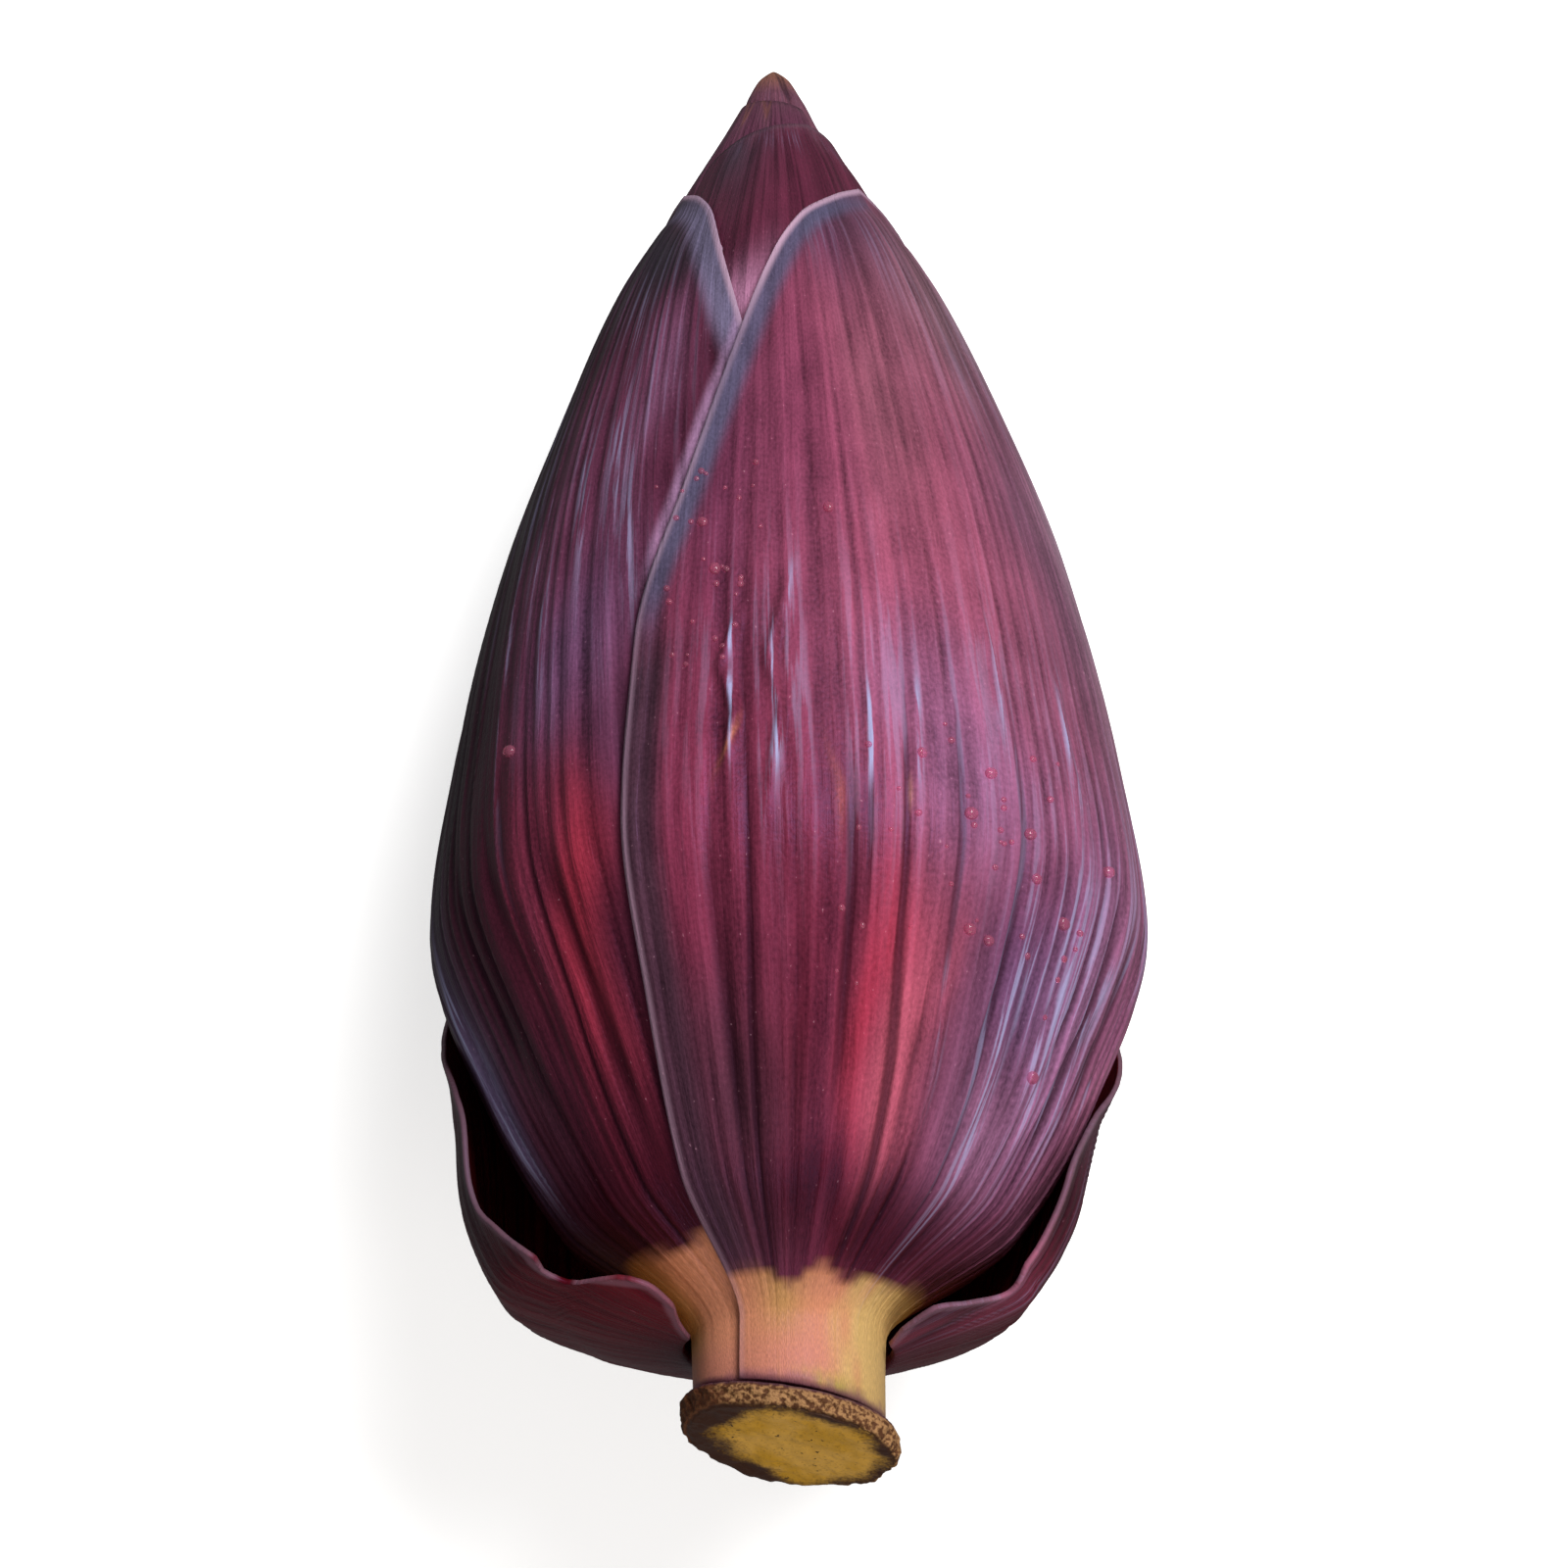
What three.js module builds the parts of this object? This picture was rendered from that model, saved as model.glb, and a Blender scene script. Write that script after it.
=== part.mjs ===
// Banana blossom: a bud of big overlapping bracts on a short length of cut stalk.
// Millimetres. The pieces are shaped round the bud's own axis, which is Y, with the scar
// ring of the cut stalk round height 0 and the tip at LENGTH. An azimuth of 0 degrees is
// straight up (+Z) and +90 is +X.
// The whole bud is then laid on its back on the plane z = 0, with its tip a little lower.
import * as THREE from 'three';
import { mergeVertices } from 'three/addons/utils/BufferGeometryUtils.js';

const DEGREE = Math.PI / 180;

// Driving dimensions
const LENGTH = 258;
const FLATTENING = 0.95; // depth over width of the bud
const BRACT_THICKNESS = 1.5;
const MARGIN_THICKNESS = 0.8;
const LAYER_GAP = 0.8;
const LAYER_PITCH = BRACT_THICKNESS + LAYER_GAP;
const CUP_CLEARANCE = LAYER_PITCH + 0.5; // from the bud's skin to the rear bract's
const HEART_CLEARANCE = 0.6; // more room under the last bract
const COLUMNS = 14; // facets across a bract
const CUP_COLUMNS = 22; // facets across the rear bract, whose rim is wavy
const HEART_FACETS = 24;
const HEART_FOOT = 24;
const TIP_TAPER = 30; // a bract thins over this length below its tip

// How a layer dips where others cover it
const DIP_START = 0.24; // in radii of the bud, beyond the covering margin
const DIP_END = 0.5;
const DIP_REACH = 24;
const DIP_STEP = 2;

// Spacing of the places along a bract
const FIRST_STEP = 2.8;
const STEP_GROWTH = 1.25;
const LONGEST_STEP = 20;
const TIP_SHARE = 0.16; // of what is left to the tip

// How the bud lies
const TIP_DROP = 6.5; // degrees
const REST_HEIGHT = 106; // height along the axis that rests on the plane
const REST_PRESS = 1.8; // how much the underside is pressed flat

// Stalk
const RING_RADIUS = 17.8;
const RING_TOP = 2.7;
const CUT_HEIGHT = -1.8; // the cut face
const STALK_RADIUS = 10.4;
const STALK_TOP = 20;
const STALK_FACETS = 32;
const STALK_LEAN = -1.3; // sideways shift of the cut end
const CUT_SLANT = 10; // degrees that the cut is out of square
const CUT_TILT = 5; // degrees that the cut faces up

/** Monotone smooth curve y(x) through a few points, flat beyond its ends. */
function curveThrough(points) {
  const count = points.length;
  const secants = points.slice(1).map(([x, y], i) => (y - points[i][1]) / (x - points[i][0]));
  const slopes = points.map((_, i) => {
    const before = secants[Math.max(i - 1, 0)];
    const after = secants[Math.min(i, count - 2)];
    return before * after > 0 ? (2 * before * after) / (before + after) : 0;
  });
  return (x) => {
    if (x <= points[0][0]) return points[0][1];
    if (x >= points[count - 1][0]) return points[count - 1][1];
    const i = points.findIndex((point) => point[0] > x) - 1;
    const width = points[i + 1][0] - points[i][0];
    const t = (x - points[i][0]) / width;
    const startPart = (1 + 2 * t) * (1 - t) ** 2 * points[i][1];
    const endPart = t * t * (3 - 2 * t) * points[i + 1][1];
    const bend = t * (1 - t) ** 2 * slopes[i] - t * t * (1 - t) * slopes[i + 1];
    return startPart + endPart + bend * width;
  };
}

// Radius of the closed bud, from the neck over the belly to the tip
const budRadius = curveThrough([
  [0, 15.4],
  [15, 15.7],
  [33, 36.8],
  [57, 50.3],
  [86, 59.8],
  [116, 56.4],
  [150, 49.4],
  [181, 39.3],
  [206, 29.5],
  [227, 18.0],
  [242, 9.9],
  [252, 4.6],
  [LENGTH, 0],
]);
const budMeridian = { height: (s) => s, radius: budRadius, clearance: CUP_CLEARANCE, lean: () => 0 };

// The rear bract stands off the bud as a cup round the neck and closes on to the belly above it.
// Its meridian is measured along its own length, from its foot on the neck.
const CUP_JOIN = 93;
const CUP_LEAN = -3.5; // the cup is wider on the -X side
const cupHeight = curveThrough([
  [0, 13],
  [5, 14.5],
  [12, 16.5],
  [19, 19],
  [28, 23],
  [35, 29],
  [45, 38],
  [59, 52],
  [78, 70],
  [CUP_JOIN, 85],
  [159, 150],
  [218, 206],
]);
const cupRadius = curveThrough([
  [0, 17.2],
  [5, 22],
  [12, 28.7],
  [19, 35.5],
  [28, 42.9],
  [35, 47],
  [45, 50.5],
  [59, 53],
  [67, 55.5],
  [78, 59.2],
  [CUP_JOIN, budRadius(85) + CUP_CLEARANCE],
]);
const cupLean = curveThrough([
  [13, 0],
  [19, 0.15 * CUP_LEAN],
  [24, CUP_LEAN],
  [38, CUP_LEAN],
  [52, 0.7 * CUP_LEAN],
  [60, 0.3 * CUP_LEAN],
  [70, 0],
]);
const cupMeridian = {
  height: cupHeight,
  radius: (s) => (s < CUP_JOIN ? cupRadius(s) : budRadius(cupHeight(s)) + CUP_CLEARANCE),
  clearance: 0,
  lean: cupLean,
};

/** Lowest z that the underside may reach at a height along the axis. */
function restPlane(height) {
  const belly = FLATTENING * (budRadius(REST_HEIGHT) + CUP_CLEARANCE);
  return REST_PRESS - belly + (height - REST_HEIGHT) * Math.tan(TIP_DROP * DEGREE);
}

/** Point of the bud after the stalk's lean and the slant of its cut are put in. */
function leanStalk(x, height, z) {
  const shift = STALK_LEAN * (1 - THREE.MathUtils.smoothstep(height, 8, 50));
  const slant = Math.tan(CUT_SLANT * DEGREE) * (1 - THREE.MathUtils.smoothstep(height, 2, 18));
  return new THREE.Vector3(x + shift, height - x * slant, z);
}

/** Point at a depth under the skin whose meridian is given, at a place s along it. */
function skinPoint(meridian, s, azimuth, depth) {
  const step = 0.5;
  const rise = meridian.height(s + step) - meridian.height(s - step);
  const spread = meridian.radius(s + step) - meridian.radius(s - step);
  const run = Math.hypot(rise, spread) || 1;
  const height = meridian.height(s) + (depth * spread) / run;
  const radius = Math.max(meridian.radius(s) - (depth * rise) / run, 0);
  const x = meridian.lean(height) + radius * Math.sin(azimuth * DEGREE);
  const z = FLATTENING * radius * Math.cos(azimuth * DEGREE);
  return leanStalk(x, height, Math.max(z, restPlane(height) + meridian.clearance + depth));
}

// The bracts that lie close on the bud, outermost first. Each margin is an azimuth against height.
const LAYERS = [
  {
    name: 'front_bract',
    colour: 0x6e2a3f,
    foot: 3.6,
    tip: 225.5,
    from: curveThrough([
      [3, -31],
      [60, -27],
      [120, -26],
      [150, -19],
      [186, -9],
      [203, -1],
      [213, 9],
      [220, 27],
      [225.5, 50],
    ]),
    to: curveThrough([
      [3, 146],
      [20, 134],
      [60, 131],
      [120, 131],
      [165, 120],
      [203, 104],
      [213, 92],
      [220, 74],
      [225.5, 50],
    ]),
  },
  {
    name: 'left_bract',
    colour: 0x5c2338,
    foot: 3.6,
    tip: 227,
    from: curveThrough([
      [3, -206],
      [16, -160],
      [60, -146],
      [120, -143],
      [165, -131],
      [203, -114],
      [216, -104],
      [222, -90],
      [227, -64],
    ]),
    to: curveThrough([
      [3, -4],
      [60, 5],
      [120, 8],
      [165, -2],
      [186, -10],
      [203, -18],
      [216, -28],
      [222, -40],
      [227, -64],
    ]),
  },
  {
    name: 'back_bract',
    colour: 0x5a2438,
    foot: 19,
    tip: 234,
    from: curveThrough([[19, 76], [120, 80], [190, 92], [218, 108], [228, 124], [234, 162]]),
    to: curveThrough([[19, 248], [120, 244], [190, 232], [218, 216], [228, 200], [234, 162]]),
  },
  {
    name: 'inner_front_bract',
    colour: 0x7a2c44,
    foot: 26,
    tip: 241.5,
    from: curveThrough([[26, -52], [150, -66], [220, -64], [232, -53], [237, -32], [239.5, -5], [241.5, 34]]),
    to: curveThrough([[26, 120], [150, 134], [220, 132], [232, 121], [237, 100], [239.5, 73], [241.5, 34]]),
  },
  {
    name: 'inner_left_bract',
    colour: 0x722a40,
    foot: 34,
    tip: 249.5,
    from: curveThrough([[34, -184], [200, -196], [240, -196], [246, -170], [249.5, -94]]),
    to: curveThrough([[34, -4], [200, 24], [240, 44], [246, 40], [249.5, -94]]),
  },
];

// The rear bract's margins are azimuths against the length along its cup
const REAR_BRACT = {
  name: 'rear_bract',
  colour: 0x4f2033,
  foot: 0,
  tip: 217,
  growth: 1.1, // its wavy rim needs closer stations
  from: curveThrough([
    [0, 72],
    [4, 63],
    [10, 60],
    [15, 70],
    [21, 77],
    [30, 74],
    [45, 74],
    [56, 82],
    [64, 92],
    [78, 108],
    [93, 118],
    [125, 128],
    [190, 156],
    [208, 174],
    [217, 195],
  ]),
  to: curveThrough([
    [0, 292],
    [3, 301],
    [9, 314],
    [14, 316],
    [18, 312],
    [22, 295],
    [25, 295],
    [28, 299],
    [34, 293],
    [42, 285],
    [56, 283],
    [66, 276],
    [78, 262],
    [93, 249],
    [125, 243],
    [190, 232],
    [208, 216],
    [217, 195],
  ]),
};

/** How far, in radii of the bud, a place lies outside a bract: 0 where the bract covers it. */
function outside(layer, height, azimuth) {
  const radius = Math.max(budRadius(height), 1);
  let nearest = Infinity;
  for (let drop = 0; drop <= DIP_REACH; drop += DIP_STEP) {
    const level = Math.max(Math.min(height, layer.tip) - drop, layer.foot);
    const middle = (layer.from(level) + layer.to(level)) / 2;
    const halfWidth = (layer.to(level) - layer.from(level)) / 2;
    const turn = Math.abs(THREE.MathUtils.euclideanModulo(azimuth - middle + 180, 360) - 180);
    const across = Math.max(turn - halfWidth, 0) * DEGREE;
    nearest = Math.min(nearest, Math.hypot(across, (height - level) / radius));
  }
  return nearest;
}

/** Depth of a layer under the bud's outer skin: it dips where the layers over it cover it. */
function layerDepth(index, height, azimuth) {
  return LAYERS.slice(0, index).reduce((depth, layer) => {
    const cover = 1 - THREE.MathUtils.smoothstep(outside(layer, height, azimuth), DIP_START, DIP_END);
    return depth + LAYER_PITCH * cover;
  }, 0);
}

/** Places along a bract from its foot to its tip: close together on the neck and near the tip. */
function stations(foot, tip, growth = STEP_GROWTH) {
  const places = [foot];
  let step = FIRST_STEP;
  for (let place = 3; place < tip - 3; place += step) {
    if (place > foot + 1.5) places.push(place);
    step = Math.min(step * growth, LONGEST_STEP, TIP_SHARE * (LENGTH + 8 - place));
  }
  return [...places, tip - 0.9, tip];
}

/** Closed mesh from a grid of points on an outer side and one on an inner side. */
function closedShell(outer, inner) {
  const rows = outer.length;
  const columns = outer[0].length;
  const positions = [...outer.flat(), ...inner.flat()].flatMap((point) => point.toArray());
  const at = (side, row, column) => (side * rows + row) * columns + column;
  const triangles = [];
  const quad = (a, b, c, d) => triangles.push([a, c, b], [a, d, c]);
  for (let row = 0; row < rows - 1; row++) {
    for (let column = 0; column < columns - 1; column++) {
      quad(at(0, row, column), at(0, row + 1, column), at(0, row + 1, column + 1), at(0, row, column + 1));
      quad(at(1, row, column), at(1, row, column + 1), at(1, row + 1, column + 1), at(1, row + 1, column));
    }
    const last = columns - 1;
    quad(at(0, row, 0), at(1, row, 0), at(1, row + 1, 0), at(0, row + 1, 0));
    quad(at(0, row, last), at(0, row + 1, last), at(1, row + 1, last), at(1, row, last));
  }
  for (let column = 0; column < columns - 1; column++) {
    const top = rows - 1;
    quad(at(0, 0, column), at(0, 0, column + 1), at(1, 0, column + 1), at(1, 0, column));
    quad(at(0, top, column), at(1, top, column), at(1, top, column + 1), at(0, top, column + 1));
  }
  return weld(positions, triangles);
}

/** Indexed geometry with shared vertices, without the triangles that closed up to a line. */
function weld(positions, triangles) {
  const loose = new THREE.BufferGeometry();
  loose.setAttribute('position', new THREE.Float32BufferAttribute(positions, 3));
  loose.setIndex(triangles.flat());
  const welded = mergeVertices(loose, 1e-3);
  const index = Array.from(welded.index.array);
  const kept = [];
  for (let i = 0; i < index.length; i += 3) {
    const [a, b, c] = index.slice(i, i + 3);
    if (a !== b && b !== c && c !== a) kept.push(a, b, c);
  }
  welded.setIndex(kept);
  welded.computeVertexNormals();
  return welded;
}

/** A bract: a curved shell, thick in the middle and thin at its margins and tip. */
function bractGeometry(layer, meridian, columns, depthAt) {
  const outer = [];
  const inner = [];
  for (const place of stations(layer.foot, layer.tip, layer.growth)) {
    const across = Array.from({ length: columns + 1 }, (_, i) => i / columns);
    const spots = across.map((u) => {
      const azimuth = THREE.MathUtils.lerp(layer.from(place), layer.to(place), u);
      const taper = Math.min((layer.tip - place) / TIP_TAPER, 1);
      const fullness = Math.sqrt(Math.max(1 - (2 * u - 1) ** 2, 0)) * taper;
      const thickness = THREE.MathUtils.lerp(MARGIN_THICKNESS, BRACT_THICKNESS, fullness);
      return { azimuth, depth: depthAt(place, azimuth), thickness };
    });
    outer.push(spots.map((spot) => skinPoint(meridian, place, spot.azimuth, spot.depth)));
    inner.push(spots.map((spot) => skinPoint(meridian, place, spot.azimuth, spot.depth + spot.thickness)));
  }
  return closedShell(outer, inner);
}

/** The solid heart of the bud, with the tip that stands out of the bracts. */
function heartGeometry() {
  const places = stations(HEART_FOOT, LENGTH - 0.6).slice(0, -1);
  const rings = places.map((place) =>
    Array.from({ length: HEART_FACETS }, (_, i) => {
      const azimuth = (360 * i) / HEART_FACETS;
      const depth = layerDepth(LAYERS.length, place, azimuth) + HEART_CLEARANCE;
      return skinPoint(budMeridian, place, azimuth, depth);
    }),
  );
  const floorHeight = rings[0].reduce((sum, point) => sum + point.y, 0) / HEART_FACETS;
  const ends = [new THREE.Vector3(0, floorHeight, 0), new THREE.Vector3(0, LENGTH, 0)];
  const positions = [...rings.flat(), ...ends].flatMap((point) => point.toArray());
  const footCentre = rings.length * HEART_FACETS;
  const triangles = [];
  for (let i = 0; i < HEART_FACETS; i++) {
    const next = (i + 1) % HEART_FACETS;
    for (let row = 0; row < rings.length - 1; row++) {
      const low = row * HEART_FACETS;
      const high = low + HEART_FACETS;
      triangles.push([low + i, high + next, high + i], [low + i, low + next, high + next]);
    }
    const top = (rings.length - 1) * HEART_FACETS;
    triangles.push([footCentre, next, i], [top + i, top + next, footCentre + 1]);
  }
  return weld(positions, triangles);
}

/** The cut stalk: a scar ring at the cut, and the short axis that carries the bracts. */
function stalkGeometry() {
  const profile = [
    new THREE.Vector2(0, CUT_HEIGHT),
    new THREE.Vector2(RING_RADIUS - 1.2, CUT_HEIGHT),
    new THREE.Vector2(RING_RADIUS, CUT_HEIGHT + 1.4),
    new THREE.Vector2(RING_RADIUS - 0.5, RING_TOP - 0.5),
    new THREE.Vector2(RING_RADIUS - 2, RING_TOP),
    new THREE.Vector2(STALK_RADIUS, RING_TOP + 0.1),
    new THREE.Vector2(STALK_RADIUS, STALK_TOP - 5),
    new THREE.Vector2(STALK_RADIUS - 3, STALK_TOP),
    new THREE.Vector2(0, STALK_TOP),
  ];
  const lathe = new THREE.LatheGeometry(profile, STALK_FACETS);
  lathe.deleteAttribute('normal');
  lathe.deleteAttribute('uv');
  const corners = lathe.getAttribute('position');
  for (let i = 0; i < corners.count; i++) {
    const [x, height, z] = [corners.getX(i), corners.getY(i), corners.getZ(i)];
    const tilt = Math.tan(CUT_TILT * DEGREE) * (1 - THREE.MathUtils.smoothstep(height, -1.5, RING_TOP - 0.3));
    const corner = leanStalk(x, height + z * tilt, z);
    corners.setXYZ(i, corner.x, corner.y, corner.z);
  }
  return mergeVertices(lathe, 1e-3);
}

/** Named mesh with its own plain material. */
function piece(name, geometry, colour, roughness = 0.5) {
  const material = new THREE.MeshStandardMaterial({ color: colour, roughness, metalness: 0 });
  const mesh = new THREE.Mesh(geometry, material);
  mesh.name = name;
  return mesh;
}

const bud = new THREE.Group();
bud.add(piece('peduncle', stalkGeometry(), 0x9c7a35, 0.8));
const cup = bractGeometry(REAR_BRACT, cupMeridian, CUP_COLUMNS, () => 0);
bud.add(piece(REAR_BRACT.name, cup, REAR_BRACT.colour));
LAYERS.forEach((layer, index) => {
  const depthAt = (height, azimuth) => layerDepth(index, height, azimuth);
  bud.add(piece(layer.name, bractGeometry(layer, budMeridian, COLUMNS, depthAt), layer.colour));
});
bud.add(piece('bud_tip', heartGeometry(), 0xa5603a));

// Lay the bud down: tip lowered, box centred over the origin, underside on z = 0
bud.rotation.x = -TIP_DROP * DEGREE;
const blossom = new THREE.Group();
blossom.add(bud);
blossom.updateMatrixWorld(true);
const box = new THREE.Box3().setFromObject(blossom, true);
const middle = box.getCenter(new THREE.Vector3());
blossom.position.set(-middle.x, -middle.y, -box.min.z);

export default blossom;
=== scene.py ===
"""Looks of a cut banana blossom that lies on its back.

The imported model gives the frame. Every bract, the cut stalk and the tip are made again here as finely
shaped pieces on the same surfaces, with folds, rolled margins, waxy skin and drops of water.
Lengths in the dataclasses are millimetres, and angles are degrees round the bud from straight up.
"""

import logging
import math
from dataclasses import dataclass, field
from enum import Enum
from typing import Any, Callable

import bpy
import numpy as np
from mathutils import Matrix, Vector


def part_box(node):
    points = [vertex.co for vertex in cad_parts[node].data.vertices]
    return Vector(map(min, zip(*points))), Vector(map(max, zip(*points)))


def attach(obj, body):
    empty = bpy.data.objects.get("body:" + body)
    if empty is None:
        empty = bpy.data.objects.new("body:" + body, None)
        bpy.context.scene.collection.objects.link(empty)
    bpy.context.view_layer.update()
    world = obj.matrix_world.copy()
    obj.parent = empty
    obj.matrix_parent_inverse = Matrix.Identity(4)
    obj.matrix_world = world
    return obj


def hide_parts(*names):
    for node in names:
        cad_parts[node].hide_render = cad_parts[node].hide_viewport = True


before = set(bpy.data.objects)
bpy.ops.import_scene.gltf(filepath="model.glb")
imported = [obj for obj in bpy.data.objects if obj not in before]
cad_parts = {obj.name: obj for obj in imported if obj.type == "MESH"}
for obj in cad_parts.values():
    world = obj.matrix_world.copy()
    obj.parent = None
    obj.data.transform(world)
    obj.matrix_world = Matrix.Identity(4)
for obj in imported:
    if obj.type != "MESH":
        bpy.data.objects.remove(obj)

Array = np.ndarray
Curve = Callable[[Array], Array]
Piece = bpy.types.Object
Finish = bpy.types.Material

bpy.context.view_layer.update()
MM = 0.001
BODY = "root"
BELLY = 110.0  # height along the axis that slanting veins turn about
SEAM_GAP = 2e-6  # corners nearer than this many metres are one corner
log = logging.getLogger("banana_blossom")


# ---------------------------------------------------------------- curves, noise and colour


def curve_through(*points: tuple[float, float]) -> Curve:
    """Makes a smooth curve y(x) that never overshoots the few points it runs through.

    Args:
        points: Pairs of x and y, in order of x.

    Returns:
        A function from an array of x to an array of y, flat beyond the ends.
    """
    xs = np.array([point[0] for point in points], float)
    ys = np.array([point[1] for point in points], float)
    widths = np.diff(xs)
    secants = np.diff(ys) / widths
    before = np.concatenate([secants[:1], secants])
    after = np.concatenate([secants, secants[-1:]])
    total = np.where(np.abs(before + after) < 1e-12, 1.0, before + after)
    slopes = np.where(before * after > 0, 2 * before * after / total, 0.0)

    def curve(x: Array) -> Array:
        """Evaluates the curve at x."""
        x = np.clip(np.asarray(x, float), xs[0], xs[-1])
        i = np.clip(np.searchsorted(xs, x, side="right") - 1, 0, len(widths) - 1)
        t = (x - xs[i]) / widths[i]
        start = (1 + 2 * t) * (1 - t) ** 2 * ys[i]
        end = t * t * (3 - 2 * t) * ys[i + 1]
        bend = (t * (1 - t) ** 2 * slopes[i] - t * t * (1 - t) * slopes[i + 1]) * widths[i]
        return start + end + bend

    return curve


def mirrored(middle: float, *points: tuple[float, float]) -> tuple[Curve, Curve]:
    """Two curves that lie as far below a middle as above it.

    Args:
        middle: The middle value.
        points: Pairs of x and distance from the middle, in order of x.

    Returns:
        The lower and the upper curve.
    """
    low, high = (curve_through(*((x, middle + way * y) for x, y in points)) for way in (-1, 1))
    return low, high


def smooth_step(x: Array, low: float, high: float) -> Array:
    """Rises smoothly from 0 at low to 1 at high."""
    t = np.clip((np.asarray(x, float) - low) / (high - low), 0.0, 1.0)
    return t * t * (3 - 2 * t)


def bump_at(x: Array, centre: float, width: float) -> Array:
    """Soft hump of height 1 at a centre."""
    return np.exp(-(((np.asarray(x, float) - centre) / width) ** 2))


def wrapped(angle: Array) -> Array:
    """Brings angles in degrees to between -180 and 180."""
    return (angle + 180) % 360 - 180


def distance_squared(line: tuple[Array, Array], azimuth: Array, place: Array, scale: Array) -> Array:
    """Squared distance of corners from a line drawn on the skin.

    Args:
        line: Azimuths and places of the line's points, in order.
        azimuth: Azimuths of the corners.
        place: Places of the corners along the meridian.
        scale: Millimetres in a degree at each corner.

    Returns:
        The squared distance of every corner, in square millimetres.
    """
    azimuths, places = line
    nearest = np.full(place.shape, 1e9)
    for k in range(len(places) - 1):
        across = wrapped(azimuth - azimuths[k]) * scale
        along = place - places[k]
        side = (azimuths[k + 1] - azimuths[k]) * scale
        up = places[k + 1] - places[k]
        share = np.clip((across * side + along * up) / np.maximum(side**2 + up**2, 1e-9), 0, 1)
        nearest = np.minimum(nearest, (across - share * side) ** 2 + (along - share * up) ** 2)
    return nearest


class SmoothNoise:
    """Repeatable smooth noise between -1 and 1 on a plane."""

    SIDE = 256

    def __init__(self, seed: int) -> None:
        """Fills the lattice from a seed."""
        self.lattice = np.random.default_rng(seed).uniform(-1, 1, (self.SIDE, self.SIDE))

    def __call__(self, x: Array, y: Array) -> Array:
        """Reads the noise.

        Args:
            x: First coordinate, one lattice cell for each whole number.
            y: Second coordinate.

        Returns:
            The noise at every pair of coordinates.
        """
        x, y = np.broadcast_arrays(np.asarray(x, float), np.asarray(y, float))
        column, row = np.floor(x).astype(int), np.floor(y).astype(int)
        tx, ty = smooth_step(x - column, 0, 1), smooth_step(y - row, 0, 1)
        left, right = column % self.SIDE, (column + 1) % self.SIDE
        low, high = row % self.SIDE, (row + 1) % self.SIDE
        bottom = self.lattice[low, left] * (1 - tx) + self.lattice[low, right] * tx
        top = self.lattice[high, left] * (1 - tx) + self.lattice[high, right] * tx
        return bottom * (1 - ty) + top * ty


def linear(hex_colour: str) -> tuple[float, float, float, float]:
    """Turns an sRGB hex colour into linear RGBA."""
    values = [int(hex_colour[i : i + 2], 16) / 255 for i in (1, 3, 5)]
    red, green, blue = (v / 12.92 if v <= 0.04045 else ((v + 0.055) / 1.055) ** 2.4 for v in values)
    return red, green, blue, 1.0


def paint(colour: Array, hex_colour: str, share: Array) -> Array:
    """Lays a colour over linear RGB rows by a share of each row."""
    share = np.clip(share, 0, 1)[:, None]
    return colour * (1 - share) + np.array(linear(hex_colour)[:3]) * share


# ---------------------------------------------------------------- the form of the bud


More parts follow.
